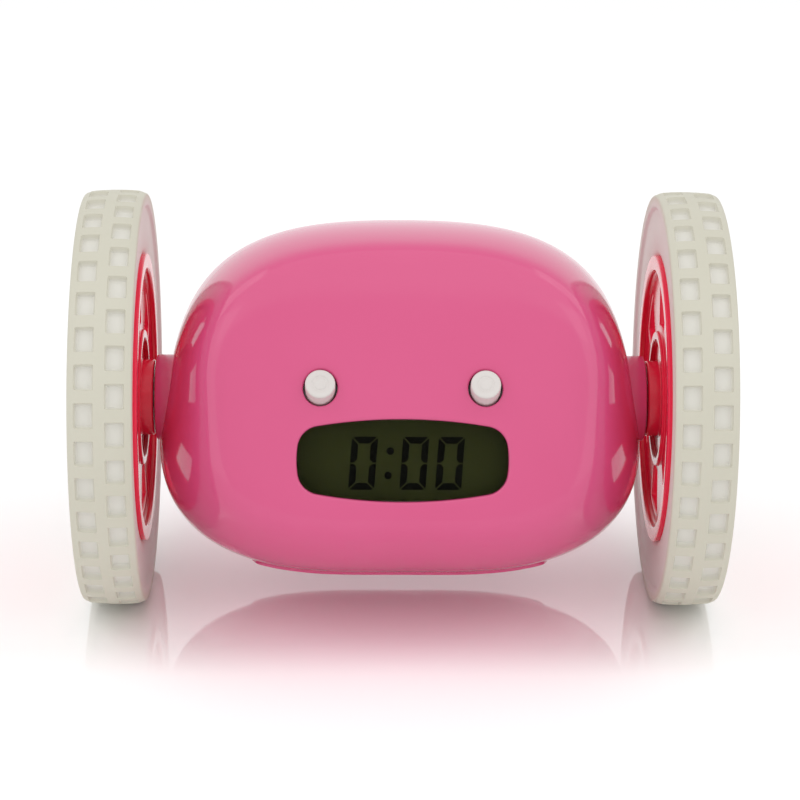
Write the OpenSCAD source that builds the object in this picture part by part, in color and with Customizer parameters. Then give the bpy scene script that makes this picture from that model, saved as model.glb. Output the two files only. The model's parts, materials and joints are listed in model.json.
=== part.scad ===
// Two-wheeled alarm clock: a smooth egg-like case slung between two large
// rubber-tyred wheels, each driven by its own motor and gearbox.
// Millimetres. The floor is z = 0, +Z is up, X runs along the axle and the
// clock face looks toward -Y.

/* [Wheels] */
// Outside radius of the tyres, and the height of the axle
wheel_r = 44.5; // [44.2:0.1:47]
// Width of a tyre
tyre_w = 13; // [11:0.5:15]
// Distance of a tyre's inner side from the side plane of the case
wheel_gap = 5.5; // [5.3:0.1:8]
// Radius where the tyre sits on the rim
rim_r = 30.9; // [30:0.1:32.5]
// Tread pockets in each of the two rows
pocket_count = 36; // [24:4:40]
// Depth of a tread pocket
pocket_depth = 1.3; // [0.6:0.1:2]
// Radius of the wheel hub
hub_r = 8.1; // [7.5:0.1:8.6]
// Openings between the spokes
spoke_count = 6; // [5:1:8]

/* [Case] */
// Wall of the case
wall = 2; // [1.6:0.1:2.2]
// Distance of the tilted side planes from the case centre
side_half = 48.9; // [48.2:0.1:49.2]
// Rise of the top above the case centre
top_rise = 32.5; // [32:0.1:33.5]
// Depth of the underside below the case centre
bottom_drop = 40.5; // [40:0.1:41]
// Distance of the back from the case centre
back_depth = 28; // [27.6:0.1:29]
// Distance of the face from the case centre
face_rise = 39.8; // [39.6:0.1:40.4]
// Lean of the face back from upright
face_tilt = 24; // [23:0.5:25]
// Radius of the slightly domed face
face_radius = 285; // [240:5:400]
// Radius of the collar round each axle
collar_r = 9.2; // [9:0.1:9.4]

/* [Window and buttons] */
// Half the width of the window
window_half = 21.5; // [20:0.5:22]
// Half the height of the window
window_rise = 8.25; // [7.5:0.25:8.5]
// Sideways distance of the round front buttons from the middle
button_x = 16.9; // [16:0.1:18]
// Radius of a front button
button_r = 3.1; // [2.6:0.1:3.3]
// How far the front buttons stand out
button_proud = 2.35; // [1:0.05:3]
// Travel of every push button
button_travel = 0.8; // [0.5:0.1:1]

/* [Battery door] */
// Half the width of the battery door
door_half = 36; // [34:0.2:36.4]
// How far the door stands out from the case
door_proud = 0.6; // [0.2:0.1:0.8]

/* [Drive] */
// Module of all gear teeth
gear_module = 0.6; // [0.6:0.1:0.6]
// Radius of the wheel axle
axle_r = 2; // [1.8:0.1:2.2]
// Radius of the motor case
motor_r = 10; // [9:0.1:10]

/* [Hidden] */

pink = [0.85, 0.33, 0.50];
white = [0.90, 0.89, 0.86];
grey = [0.55, 0.56, 0.58];
steel = [0.72, 0.73, 0.75];
green = [0.13, 0.38, 0.20];

// The case is one smooth surface about a centre on its joint plane.
split_y = 10;
case_c = [0, split_y, 3.5];
side_tilt = 12.75;
top_tilt = 13.5;
bottom_tilt = 3.7;
front_depth = 53.1;
side_round = 2.9;
round_change = 0.47;
girth_round = 2.05;
edge_round = 14;
case_rings = 18;
case_sides = 64;

right_n = [cos(side_tilt), 0, sin(side_tilt)];
left_n = [-cos(side_tilt), 0, sin(side_tilt)];
top_n = [0, sin(top_tilt), cos(top_tilt)];
bottom_n = [0, sin(bottom_tilt), -cos(bottom_tilt)];
face_n = [0, -cos(face_tilt), sin(face_tilt)];

// Share of the way to a plane at distance h, along direction d.
function part_way(d, n, h, e) = pow(max(0, d * n) / h, e);

// The rounded block that the case is made from, drawn in by w.
function block(d, w) =
  let (e = side_round + round_change * d[2], g = girth_round)
  let (across = part_way(d, right_n, side_half - w, e)
    + part_way(d, left_n, side_half - w, e))
  let (girth = part_way(d, top_n, top_rise - w, g)
    + part_way(d, bottom_n, bottom_drop - w, g)
    + part_way(d, [0, 1, 0], back_depth - w, g)
    + part_way(d, [0, -1, 0], front_depth - w, g))
  pow(across + pow(girth, e / g), 1 / e);

// The domed face that cuts the block off in front.
function face(d, w) =
  let (c = face_n * (face_rise - face_radius), k = d * c)
  1 / (k + sqrt(k * k + pow(face_radius - w, 2) - c * c));

// Point of the case surface along direction d, drawn in by w.
function skin(d, w) =
  let (u = d / norm(d))
  case_c + u * pow(pow(block(u, w), edge_round)
    + pow(face(u, w), edge_round), -1 / edge_round);

function case_way(t, a, s) = [sin(t) * cos(a), s * cos(t), sin(t) * sin(a)];

// All points of half a case skin, ring by ring away from its middle.
function half_skin(s, w) = [
  for (i = [0:case_rings * case_sides])
    i == 0 ? skin(case_way(0, 0, s), w) :
    skin(case_way(90 * (floor((i - 1) / case_sides) + 1) / case_rings,
      360 * ((i - 1) % case_sides) / case_sides, s), w)];

// Triangles of half a case skin whose points start at index o.
function half_faces(o) = concat(
  [for (j = [0:case_sides - 1])
    [o, o + 1 + (j + 1) % case_sides, o + 1 + j]],
  [for (i = [0:case_rings - 2]) for (j = [0:case_sides - 1])
    [o + 1 + i * case_sides + j,
      o + 1 + i * case_sides + (j + 1) % case_sides,
      o + 1 + (i + 1) * case_sides + j]],
  [for (i = [0:case_rings - 2]) for (j = [0:case_sides - 1])
    [o + 1 + i * case_sides + (j + 1) % case_sides,
      o + 1 + (i + 1) * case_sides + (j + 1) % case_sides,
      o + 1 + (i + 1) * case_sides + j]]);

function turned(f) = [for (t = f) [t[2], t[1], t[0]]];

// Half of the hollow case, closed along the joint by its rim.
module half_case(s) {
  n = case_rings * case_sides + 1;
  e = n - case_sides;
  rim = concat(
    [for (j = [0:case_sides - 1])
      [e + j, e + (j + 1) % case_sides, n + e + j]],
    [for (j = [0:case_sides - 1])
      [e + (j + 1) % case_sides, n + e + (j + 1) % case_sides, n + e + j]]);
  faces = concat(half_faces(0), turned(half_faces(n)), rim);
  points = concat(half_skin(s, 0), half_skin(s, wall));
  polyhedron(points = points, faces = s < 0 ? faces : turned(faces));
}

// Lifts what is drawn about the axle up to its place.
module at_axle() {
  translate([0, 0, wheel_r])
    children();
}

// Draws the right-hand copy for s = 1 and the left-hand one for s = -1.
module hand(s) {
  at_axle()
    mirror([s < 0 ? 1 : 0, 0, 0])
      children();
}

// A round bar along X.
module bar(x0, x1, r, y = 0, z = 0) {
  translate([x0, y, z])
    rotate([0, 90, 0])
      cylinder(h = x1 - x0, r = r, $fn = 64);
}

// A round bar along Y.
module peg(x, y0, y1, z, r) {
  translate([x, y0, z])
    rotate([-90, 0, 0])
      cylinder(h = y1 - y0, r = r, $fn = 48);
}

// Extrudes a shape drawn in Y and Z along X.
module along_x(x0, x1) {
  translate([x0, 0, 0])
    rotate([90, 0, 90])
      linear_extrude(height = x1 - x0)
        children();
}

// ---- battery door opening ----
door_front = -21.5;
door_rear = 24;
door_level = -37.25;
door_gap = 0.35;
door_cols = 20;
door_rows = 14;

// A rounded wedge from the case centre through the door outline.
module door_wedge(near, far) {
  corners = [for (p = [[-door_half, door_front], [door_half, door_front],
    [door_half, door_rear], [-door_half, door_rear]])
      [p[0], p[1], door_level] - case_c];
  polyhedron(
    points = [for (k = [near, far]) for (c = corners) case_c + k * c],
    faces = [[3, 2, 1, 0], [4, 5, 6, 7], [5, 4, 0, 1], [6, 5, 1, 2],
      [7, 6, 2, 3], [4, 7, 3, 0]]);
}

// ---- window, seen along its own slightly raised line ----
window_tilt = 17;
window_u = -11.2;
lens_face = 31.4;
lens_seat = 28.5;
lens_flange = 1.6;
lens_fit = 0.2;
glass_top = 26.7;
glass_th = 2.1;
board_top = 23.2;
board_th = 1.2;
board_half = 30;
board_rise = 9.2;
post_x = 26.5;
post_u = 7.2;
post_r = 2.4;
screw_r = 1;

module window_frame() {
  rotate([90 - window_tilt, 0, 0])
    translate([0, window_u, 0])
      children();
}

// The barrel outline of the window, grown by g.
module barrel(g) {
  side_bulge = 20.4;
  top_bulge = 104;
  corner = 4.6;
  offset(r = corner + g, $fn = 48)
    offset(delta = -corner)
      intersection() {
        translate([window_half - side_bulge, 0])
          circle(r = side_bulge, $fn = 180);
        translate([side_bulge - window_half, 0])
          circle(r = side_bulge, $fn = 180);
        translate([0, window_rise - top_bulge])
          circle(r = top_bulge, $fn = 720);
        translate([0, top_bulge - window_rise])
          circle(r = top_bulge, $fn = 720);
      }
}

// ---- front buttons, on a line raised above that of the window ----
button_tilt = 41;
button_u = -9.32;
button_surface = 29.9;
button_hole_r = button_r + 0.45;
button_ledge = 26;
button_flange = 1.1;
button_flange_r = 3.85;
stem_end = 19.4;
stem_r = 1.4;
plate_top = 14.4;
plate_th = 1.2;
switch_h = 3.5;
plunger_gap = 0.85;

module button_frame() {
  rotate([90 - button_tilt, 0, 0])
    translate([0, button_u, 0])
      children();
}

// ---- snooze bar on the upper back ----
snooze_tilt = 45;
snooze_surface = 37.7;
snooze_half = 13;
snooze_rise = 4.5;
snooze_ledge = 32.6;
snooze_flange = 1.2;
snooze_plate = 29.2;
snooze_switch_h = 1.35;

module snooze_frame() {
  rotate([-snooze_tilt, 0, 0])
    children();
}

// A bar with round ends along X.
module slot_shape(half, r) {
  hull() {
    translate([r - half, 0])
      circle(r = r, $fn = 48);
    translate([half - r, 0])
      circle(r = r, $fn = 48);
  }
}

// ---- keys and slide switch at the back ----
key_x = 14;
key_z = 11;
key_r = 2.8;
key_hole_r = key_r + 0.4;
key_end = 37.4;
key_ledge = 31.4;
key_flange = 1.2;
rear_top = 26.5;
rear_switch_h = 2.6;
rear_th = 1.2;
rear_half = 23;
rear_rise = 5.5;
rear_post_x = 20.6;
slide_travel = 5;
knob_half = 2.4;
knob_base = 31.8;
knob_plate = 7;
slot_half = 5.2;
slot_rise = 2;

// ---- case screws ----
upper_x = 22;
upper_z = 28.2;
lower_x = 33;
lower_z = -20;
case_post_r = 3.4;
post_start = -4;
upper_skin = 21.7;
upper_lean = 50;
upper_turn = 18;
case_screw_r = 1.1;
case_screw_seat = 16;
case_head_r = 2.1;
speaker_r = 10;
speaker_tilt = 10;
speaker_back = 26.8;
speaker_h = 3.8;

// ---- drive ----
wheel_in = side_half + wheel_gap;
frame_x = side_half - 20.9;
plate_w = 1.5;
wide_x = frame_x + plate_w + 0.8;
wide_w = 3;
narrow_x = wide_x + wide_w + 0.7;
narrow_w = 3.5;
box_x = narrow_x + narrow_w + 1;
axle_teeth = 40;
small_teeth = 10;
large_teeth = 30;
pinion_teeth = 8;
motor_y = 14;
motor_z = 14;
pin_r = 1;
running = 0.05;
axle_pitch = gear_module * axle_teeth / 2;
small_pitch = gear_module * small_teeth / 2;
large_pitch = gear_module * large_teeth / 2;
pinion_pitch = gear_module * pinion_teeth / 2;
motor_far = norm([motor_y, motor_z]);
motor_dir = atan2(motor_z, motor_y);
first_gap = axle_pitch + small_pitch;
second_gap = large_pitch + pinion_pitch;
swing = acos((pow(first_gap, 2) + pow(motor_far, 2) - pow(second_gap, 2))
  / (2 * first_gap * motor_far));
pin_dir = motor_dir - swing;
pin_y = first_gap * cos(pin_dir);
pin_z = first_gap * sin(pin_dir);
mesh_dir = atan2(motor_z - pin_z, motor_y - pin_y);

function inv(a) = tan(a) * 180 / PI - a;
function tooth_half(r, pitch, teeth) =
  let (base = pitch * cos(20), q = max(r, base + 0.001))
  78 / teeth + inv(20) - inv(acos(base / q));

// Outline of a spur gear with short teeth, one of them along +X.
module gear_shape(teeth) {
  pitch = gear_module * teeth / 2;
  root = pitch - 1.1 * gear_module;
  tip = pitch + 0.8 * gear_module;
  radii = [root, pitch - 0.35 * gear_module, pitch, pitch + 0.4 * gear_module,
    tip];
  polygon([for (t = [0:teeth - 1]) for (i = [0:9])
    let (k = i < 5 ? i : 9 - i, h = tooth_half(radii[k], pitch, teeth),
      a = 360 * t / teeth + (i < 5 ? -h : h))
      [radii[k] * cos(a), radii[k] * sin(a)]]);
}

module gear(teeth, x, w, y, z, turn) {
  translate([0, y, z])
    along_x(x, x + w)
      rotate(turn)
        gear_shape(teeth);
}

collar_face = wheel_in - 2;
hub_gap = 0.4;
hub_face = collar_face + hub_gap;
bush_r = 4.2;
bush_x = side_half - 2.9;
axle_end = wheel_in + 5.6;
hub_end = wheel_in + 8.6;
web_x = wheel_in + 1.4;

// ================= case =================

module front_shell() {
  color(pink)
    at_axle()
      difference() {
        union() {
          half_case(-1);
          for (s = [-1, 1])
            front_posts(s);
          window_frame()
            translate([0, 0, lens_seat])
              linear_extrude(height = 1.9)
                barrel(1.1);
          button_frame()
            for (s = [-1, 1])
              translate([s * button_x, 0, button_ledge])
                cylinder(h = 2.3, r = button_hole_r + 1.1, $fn = 48);
        }
        window_frame()
          translate([0, 0, lens_seat - 1])
            linear_extrude(height = 8)
              barrel(lens_fit);
        button_frame()
          for (s = [-1, 1])
            translate([s * button_x, 0, button_ledge - 1])
              cylinder(h = 9, r = button_hole_r, $fn = 48);
        door_wedge(0.72, 1.12);
        for (s = [-1, 1])
          front_bores(s);
      }
}

// A web that ties a case post at height z to the wall above or below it.
module rib(x, z, y0, z0, y1, z1) {
  along_x(x - 1.5, x + 1.5)
    polygon([[y0, z], [y0, z0], [y1, z1], [y1, z]]);
}

// Posts of the front half: case screws, display board and axle collar.
module front_posts(s) {
  mirror([s < 0 ? 1 : 0, 0, 0]) {
    bar(bush_x - 1, collar_face, collar_r);
    peg(upper_x, post_start, split_y, upper_z, case_post_r);
    rib(upper_x, upper_z, post_start, upper_z + 7.1, split_y, upper_z + 5.4);
    peg(lower_x, post_start, split_y, lower_z, case_post_r);
    rib(lower_x, lower_z, post_start, lower_z - 12.5, split_y, lower_z - 12.8);
  }
  window_frame()
    for (u = [-post_u, post_u])
      translate([s * post_x, u, board_top])
        cylinder(h = 7, r = post_r, $fn = 36);
  button_frame()
    translate([s * 7, 0, plate_top])
      cylinder(h = 14.3, r = 1.7, $fn = 36);
}

module front_bores(s) {
  bar(s > 0 ? bush_x - 2 : -bush_x - 10, s > 0 ? bush_x + 10 : 2 - bush_x,
    bush_r);
  peg(s * upper_x, 2, split_y + 1, upper_z, case_screw_r);
  peg(s * lower_x, 2, split_y + 1, lower_z, case_screw_r);
  window_frame()
    for (u = [-post_u, post_u])
      translate([s * post_x, u, board_top - 1])
        cylinder(h = 5, r = screw_r, $fn = 48);
  button_frame()
    translate([s * 7, 0, plate_top - 1])
      cylinder(h = 6, r = screw_r, $fn = 48);
}

module rear_shell() {
  color(pink)
    at_axle()
      difference() {
        union() {
          half_case(1);
          for (s = [-1, 1])
            rear_posts(s);
          snooze_frame()
            translate([0, 0, snooze_ledge])
              linear_extrude(height = 3.6)
                slot_shape(snooze_half + 1.7, snooze_rise + 1.7);
          speaker_cup();
        }
        snooze_frame()
          translate([0, 0, snooze_ledge - 1])
            linear_extrude(height = 10)
              slot_shape(snooze_half + 0.4, snooze_rise + 0.4);
        for (s = [-1, 1])
          rear_bores(s);
        translate([-slot_half, key_ledge, key_z - slot_rise])
          cube([2 * slot_half, 12, 2 * slot_rise]);
        speaker_frame()
          for (a = [0:60:300])
            translate([5.4 * cos(a), 5.4 * sin(a), 31])
              cylinder(h = 12, r = 0.9, $fn = 24);
        door_wedge(0.72, 1.12);
      }
}

module rear_posts(s) {
  difference() {
    peg(s * upper_x, split_y, 26, upper_z, case_post_r);
    translate([s * upper_x, upper_skin, upper_z])
      rotate([0, 0, -s * upper_turn])
        rotate([upper_lean, 0, 0])
          translate([-20, 0, -20])
            cube([40, 20, 40]);
  }
  peg(s * lower_x, split_y, 26, lower_z, case_post_r);
  rib(s * upper_x, upper_z, split_y, upper_z + 5.4, split_y + 7, upper_z + 2.6);
  rib(s * lower_x, lower_z, split_y, lower_z - 12.8, split_y + 7, lower_z - 11.2);
  peg(s * key_x, key_ledge, key_ledge + 2, key_z, key_hole_r + 1.3);
  peg(s * rear_post_x, rear_top, 33.4, key_z, 2);
}

module rear_bores(s) {
  peg(s * upper_x, split_y - 1, case_screw_seat + 1, upper_z, case_screw_r + 0.15);
  peg(s * upper_x, case_screw_seat, 45, upper_z, case_head_r + 0.3);
  peg(s * lower_x, split_y - 1, case_screw_seat + 1, lower_z, case_screw_r + 0.15);
  peg(s * lower_x, case_screw_seat, 45, lower_z, case_head_r + 0.3);
  peg(s * key_x, key_ledge - 1, 45, key_z, key_hole_r);
  peg(s * rear_post_x, rear_top - 1, 31, key_z, screw_r);
}

module speaker_frame() {
  rotate([-90 - speaker_tilt, 0, 0])
    children();
}

module speaker_cup() {
  speaker_frame()
    difference() {
      translate([0, 0, speaker_back])
        cylinder(h = 7.4, r = speaker_r + 1.3, $fn = 72);
      translate([0, 0, speaker_back - 1])
        cylinder(h = speaker_h + 1, r = speaker_r + running, $fn = 72);
      translate([0, 0, speaker_back])
        cylinder(h = 9, r = speaker_r - 1.4, $fn = 72);
    }
}

// The door is a patch of the case surface between two grids of points.
module battery_door() {
  cols = door_cols + 1;
  n = cols * (door_rows + 1);
  dirs = [for (j = [0:door_rows]) for (i = [0:door_cols])
    [door_gap - door_half + 2 * (door_half - door_gap) * i / door_cols,
      door_front + door_gap
        + (door_rear - door_front - 2 * door_gap) * j / door_rows,
      door_level] - case_c];
  rim = concat([for (i = [0:door_cols - 1]) [i, i + 1]],
    [for (j = [0:door_rows - 1])
      [door_cols + j * cols, door_cols + (j + 1) * cols]],
    [for (i = [0:door_cols - 1]) [n - 1 - i, n - 2 - i]],
    [for (j = [0:door_rows - 1])
      [(door_rows - j) * cols, (door_rows - j - 1) * cols]]);
  sheet = [for (j = [0:door_rows - 1]) for (i = [0:door_cols - 1])
    j * cols + i];
  color(pink)
    at_axle()
      union() {
        polyhedron(
          points = concat([for (d = dirs) skin(d, -door_proud)],
            [for (d = dirs) skin(d, wall - 0.2)]),
          faces = concat(
            [for (q = sheet) [q, q + 1, q + cols]],
            [for (q = sheet) [q + 1, q + cols + 1, q + cols]],
            [for (q = sheet) [n + q + cols, n + q + 1, n + q]],
            [for (q = sheet) [n + q + cols, n + q + cols + 1, n + q + 1]],
            [for (e = rim) [e[1], e[0], n + e[0]]],
            [for (e = rim) [n + e[0], n + e[1], e[1]]]));
        for (s = [-1, 1])
          translate([s * 10 - 3, 18.8, 0]) {
            translate([0, 0, -31.9])
              cube([6, 1.8, 3.6]);
            translate([0, 0, -29.3])
              cube([6, 3.8, 1]);
          }
      }
}

// ================= power =================
cell_r = 5.25;
cell_l = 44.5;
cell_step = 10.9;
cell_z = -23.5;
cell_end = cell_l / 2;
contact_room = 3.25;
contact_th = 0.5;
contact_half = 4;
tray_wall = 1.5;
tray_in = cell_end + contact_room;
tray_half = tray_in + tray_wall;
tray_depth = 4 * cell_step + 0.8;
tray_lip = 1.2;
tray_top = cell_z + 6.6;

module cell_places() {
  for (i = [0:3])
    translate([0, (i - 1.5) * cell_step, cell_z])
      children();
}

module battery_tray() {
  color(grey)
    at_axle()
      difference() {
        union() {
          translate([-tray_half, -tray_depth / 2, cell_z])
            cube([2 * tray_half, tray_depth, tray_top - cell_z]);
          for (s = [-1, 1])
            translate([s * (tray_half + tray_in) / 2 - tray_wall / 2, -17,
              cell_z - 4.6])
              cube([tray_wall, 34, 6]);
        }
        cell_places()
          bar(-tray_in, tray_in, cell_r + 0.15);
        translate([-tray_in, tray_lip - tray_depth / 2, cell_z - 1])
          cube([2 * tray_in, tray_depth - 2 * tray_lip, 2.2]);
      }
}

module batteries() {
  color(steel)
    at_axle()
      cell_places() {
        bar(-cell_end, cell_end - 1, cell_r);
        bar(cell_end - 1.2, cell_end, 1.9);
      }
}

module cell_contacts() {
  color(steel)
    at_axle()
      cell_places() {
        translate([cell_end + 0.05, -contact_half, -3.5])
          cube([contact_th, 2 * contact_half, 7]);
        bar(cell_end + 0.05 + contact_th, tray_in, 1.5);
        translate([-tray_in, -contact_half, -3.5])
          cube([contact_th, 2 * contact_half, 7]);
        bar(contact_th - tray_in, -cell_end - 0.05, 3.2);
      }
}

// ================= display =================

module lcd_lens() {
  color([0.2, 0.2, 0.18, 0.5])
    at_axle()
      window_frame() {
        translate([0, 0, lens_seat])
          linear_extrude(height = lens_face - lens_seat)
            barrel(0);
        translate([0, 0, lens_seat - lens_flange])
          linear_extrude(height = lens_flange)
            barrel(0.8);
      }
}

glass_half = window_half + 0.3;
glass_rise = window_rise + 0.35;

module lcd_frame() {
  color(white)
    at_axle()
      window_frame()
        difference() {
          translate([-glass_half - 2, -glass_rise - 0.8, board_top])
            cube([2 * glass_half + 4, 2 * glass_rise + 1.6,
              lens_seat - lens_flange - board_top]);
          translate([-glass_half - 0.1, -glass_rise - 0.1, glass_top - glass_th])
            cube([2 * glass_half + 0.2, 2 * glass_rise + 0.2, 6]);
          translate([-19.2, -8.4, board_top - 1])
            cube([38.4, 16.8, 6]);
        }
}

module lcd_glass() {
  color([0.25, 0.28, 0.2])
    at_axle()
      window_frame()
        translate([-glass_half, -glass_rise, glass_top - glass_th])
          cube([2 * glass_half, 2 * glass_rise, glass_th]);
}

module contact_strip() {
  color([0.9, 0.6, 0.6])
    at_axle()
      window_frame()
        translate([-18.5, -8.3, board_top])
          cube([37, 2, glass_top - glass_th - board_top]);
}

module main_board() {
  color(green)
    at_axle()
      window_frame()
        difference() {
          translate([-board_half, -board_rise, board_top - board_th])
            cube([2 * board_half, 2 * board_rise, board_th]);
          for (s = [-1, 1]) for (u = [-post_u, post_u])
            translate([s * post_x, u, board_top - 3])
              cylinder(h = 5, r = screw_r + 0.1, $fn = 36);
        }
}

// Epoxy-covered chip, crystal and drive transistors behind the board.
module board_parts() {
  under = board_top - board_th;
  color([0.1, 0.1, 0.1])
    at_axle()
      window_frame() {
        translate([-12, -5.5, under - 1.6])
          cylinder(h = 1.6, r1 = 3, r2 = 4.5, $fn = 48);
        translate([4, -7, under - 2])
          cube([7, 2.4, 2]);
        for (x = [15, 19])
          translate([x, -7.5, under - 1.3])
            cube([2.6, 3, 1.3]);
      }
}

// ================= keys =================

module button_board() {
  color(green)
    at_axle()
      button_frame()
        difference() {
          translate([-22, -4.5, plate_top - plate_th])
            cube([44, 9, plate_th]);
          for (s = [-1, 1])
            translate([s * 7, 0, plate_top - 3])
              cylinder(h = 5, r = screw_r + 0.1, $fn = 36);
        }
}

module snooze_board() {
  color(green)
    at_axle()
      snooze_frame()
        translate([-16, -5, snooze_plate - plate_th])
          cube([32, 10, plate_th]);
}

module rear_board() {
  color(green)
    at_axle()
      difference() {
        translate([-rear_half, rear_top - rear_th, key_z - rear_rise])
          cube([2 * rear_half, rear_th, 2 * rear_rise]);
        for (s = [-1, 1])
          peg(s * rear_post_x, rear_top - 3, rear_top + 1, key_z, screw_r + 0.1);
      }
}

// A push switch standing on local z = 0.
module press_switch(h) {
  translate([-3, -3, 0])
    cube([6, 6, h - 0.65]);
  cylinder(h = h, r = 1.6, $fn = 36);
}

module press_switches() {
  color([0.15, 0.15, 0.16])
    at_axle() {
      for (s = [-1, 1]) {
        button_frame()
          translate([s * button_x, 0, plate_top])
            press_switch(stem_end - plunger_gap - plate_top);
        translate([s * key_x, rear_top, key_z])
          rotate([-90, 0, 0])
            press_switch(rear_switch_h);
        snooze_frame()
          translate([s * 8, 0, snooze_plate])
            press_switch(snooze_switch_h);
      }
    }
}

slide_body_h = 5.2;

module slide_switch() {
  color(steel)
    at_axle()
      difference() {
        translate([-5.5, rear_top, key_z - 2.2])
          cube([11, slide_body_h, 4.4]);
        translate([-4.2, rear_top + 2, key_z - 1.05])
          cube([8.4, slide_body_h, 2.1]);
      }
}

module front_button(s) {
  color(white)
    at_axle()
      button_frame()
        translate([s * button_x, 0, 0]) {
          difference() {
            translate([0, 0, button_ledge - 0.5])
              cylinder(h = button_surface + button_proud - button_ledge + 0.5,
                r = button_r, $fn = 64);
            translate([0, 0, button_surface + button_proud - 0.15])
              difference() {
                cylinder(h = 1, r = 1.7, $fn = 48);
                translate([0, 0, -1])
                  cylinder(h = 3, r = 1.4, $fn = 48);
              }
          }
          translate([0, 0, button_ledge - button_flange])
            cylinder(h = button_flange, r = button_flange_r, $fn = 64);
          translate([0, 0, stem_end])
            cylinder(h = button_ledge - stem_end - 0.5, r = stem_r, $fn = 36);
        }
}

module hour_button() {
  front_button(-1);
}

module minute_button() {
  front_button(1);
}

module snooze_button() {
  color(white)
    at_axle()
      snooze_frame() {
        translate([0, 0, snooze_ledge - 0.4])
          linear_extrude(height = snooze_surface + 0.9 - snooze_ledge)
            slot_shape(snooze_half, snooze_rise);
        translate([0, 0, snooze_ledge - snooze_flange])
          linear_extrude(height = snooze_flange)
            slot_shape(snooze_half + 1.2, snooze_rise + 1.2);
      }
}

module rear_key(s) {
  color(white)
    at_axle() {
      peg(s * key_x, key_ledge - 0.4, key_end, key_z, key_r);
      peg(s * key_x, key_ledge - key_flange, key_ledge, key_z, key_hole_r + 1);
      peg(s * key_x, rear_top + rear_switch_h + plunger_gap, key_ledge - 1,
        key_z, stem_r);
    }
}

module time_key() {
  rear_key(-1);
}

module alarm_key() {
  rear_key(1);
}

// Off at rest, at the -X end of its slot.
module run_switch() {
  mid = -slide_travel / 2;
  color(white)
    at_axle() {
      translate([mid - knob_half, knob_base + 0.5, key_z - slot_rise + 0.3])
        cube([2 * knob_half, 4.8, 2 * slot_rise - 0.6]);
      translate([mid - knob_plate, knob_base, key_z - slot_rise - 0.4])
        cube([2 * knob_plate, 0.8, 2 * slot_rise + 0.8]);
      translate([mid - 1.2, rear_top + 2.2, key_z - 1])
        cube([2.4, knob_base - rear_top - 1.9, 2]);
    }
}

module speaker() {
  color([0.3, 0.3, 0.32])
    at_axle()
      speaker_frame() {
        translate([0, 0, speaker_back])
          cylinder(h = speaker_h, r = speaker_r, $fn = 72);
        translate([0, 0, speaker_back - 3])
          cylinder(h = 3.2, r = 5, $fn = 48);
      }
}

// ================= screws =================

// A pan-head screw along local +z with its head seat at z = 0.
module screw(r, l, head_r, head_h) {
  translate([0, 0, -l])
    cylinder(h = l + head_h / 2, r = r, $fn = 48);
  difference() {
    cylinder(h = head_h, r = head_r, $fn = 36);
    for (a = [0, 90])
      rotate([0, 0, a])
        translate([-head_r * 0.6, -head_r * 0.12, head_h * 0.55])
          cube([head_r * 1.2, head_r * 0.24, head_h]);
  }
}

module case_screws() {
  color(steel)
    at_axle()
      for (s = [-1, 1]) for (p = [[upper_x, upper_z], [lower_x, lower_z]])
        translate([s * p[0], case_screw_seat, p[1]])
          rotate([-90, 0, 0])
            screw(case_screw_r, 12, case_head_r, 1.5);
}

module board_screws() {
  color(steel)
    at_axle()
      for (s = [-1, 1]) {
        window_frame()
          for (u = [-post_u, post_u])
            translate([s * post_x, u, board_top - board_th])
              rotate([180, 0, 0])
                screw(screw_r, 4.5, 1.8, 1.1);
        button_frame()
          translate([s * 7, 0, plate_top - plate_th])
            rotate([180, 0, 0])
              screw(screw_r, 5, 1.7, 1.1);
        translate([s * rear_post_x, rear_top - rear_th, key_z])
          rotate([90, 0, 0])
            screw(screw_r, 5, 1.8, 1.1);
      }
}

// ================= wheels =================

module tyre() {
  mid = wheel_in + tyre_w / 2;
  far = wheel_in + tyre_w;
  side = 0.7;
  shoulder = wheel_r - 1.3;
  step = wheel_r - 3.6;
  ridge = 1.5;
  difference() {
    rotate([0, 90, 0])
      rotate_extrude($fn = 180)
        polygon([[rim_r, wheel_in + side], [step, wheel_in + side],
          [step + 0.3, wheel_in], [shoulder, wheel_in],
          [wheel_r - 0.45, wheel_in + tyre_w * 0.22],
          [wheel_r, wheel_in + tyre_w * 0.42], [wheel_r, far - tyre_w * 0.42],
          [wheel_r - 0.45, far - tyre_w * 0.22], [shoulder, far],
          [step + 0.3, far], [step, far - side], [rim_r, far - side],
          [rim_r, mid + ridge], [rim_r + 1.3, mid + ridge],
          [rim_r + 1.3, mid - ridge], [rim_r, mid - ridge]]);
    for (row = [-1, 1]) for (i = [0:pocket_count - 1])
      rotate([360 * (i + (row > 0 ? 0.5 : 0)) / pocket_count, 0, 0])
        translate([mid + row * 3.1 - 2.05,
          -PI * wheel_r * 0.67 / pocket_count, wheel_r - 0.4 - pocket_depth])
          cube([4.1, PI * wheel_r * 1.34 / pocket_count, 4]);
  }
}

rim_in = rim_r - 3.2;

module rim() {
  mid = wheel_in + tyre_w / 2;
  difference() {
    union() {
      difference() {
        bar(wheel_in, wheel_in + tyre_w - 0.7, rim_r);
        bar(wheel_in - 1, wheel_in + tyre_w, rim_in);
      }
      difference() {
        bar(mid - 1.5, mid + 1.5, rim_r + 1.3);
        bar(mid - 2, mid + 2, rim_r - 1);
      }
      bar(web_x, web_x + 2.2, rim_in + 0.5);
      difference() {
        bar(web_x - 0.8, web_x + 0.5, 14.5);
        bar(web_x - 1.8, web_x + 0.5, 12.8);
      }
      bar(hub_face, hub_end, hub_r);
    }
    bar(hub_face - 1, axle_end, axle_r);
    bar(axle_end, hub_end + 1, 3.2);
    for (i = [0:spoke_count - 1])
      rotate([360 * i / spoke_count, 0, 0])
        spoke_window();
  }
}

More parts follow.
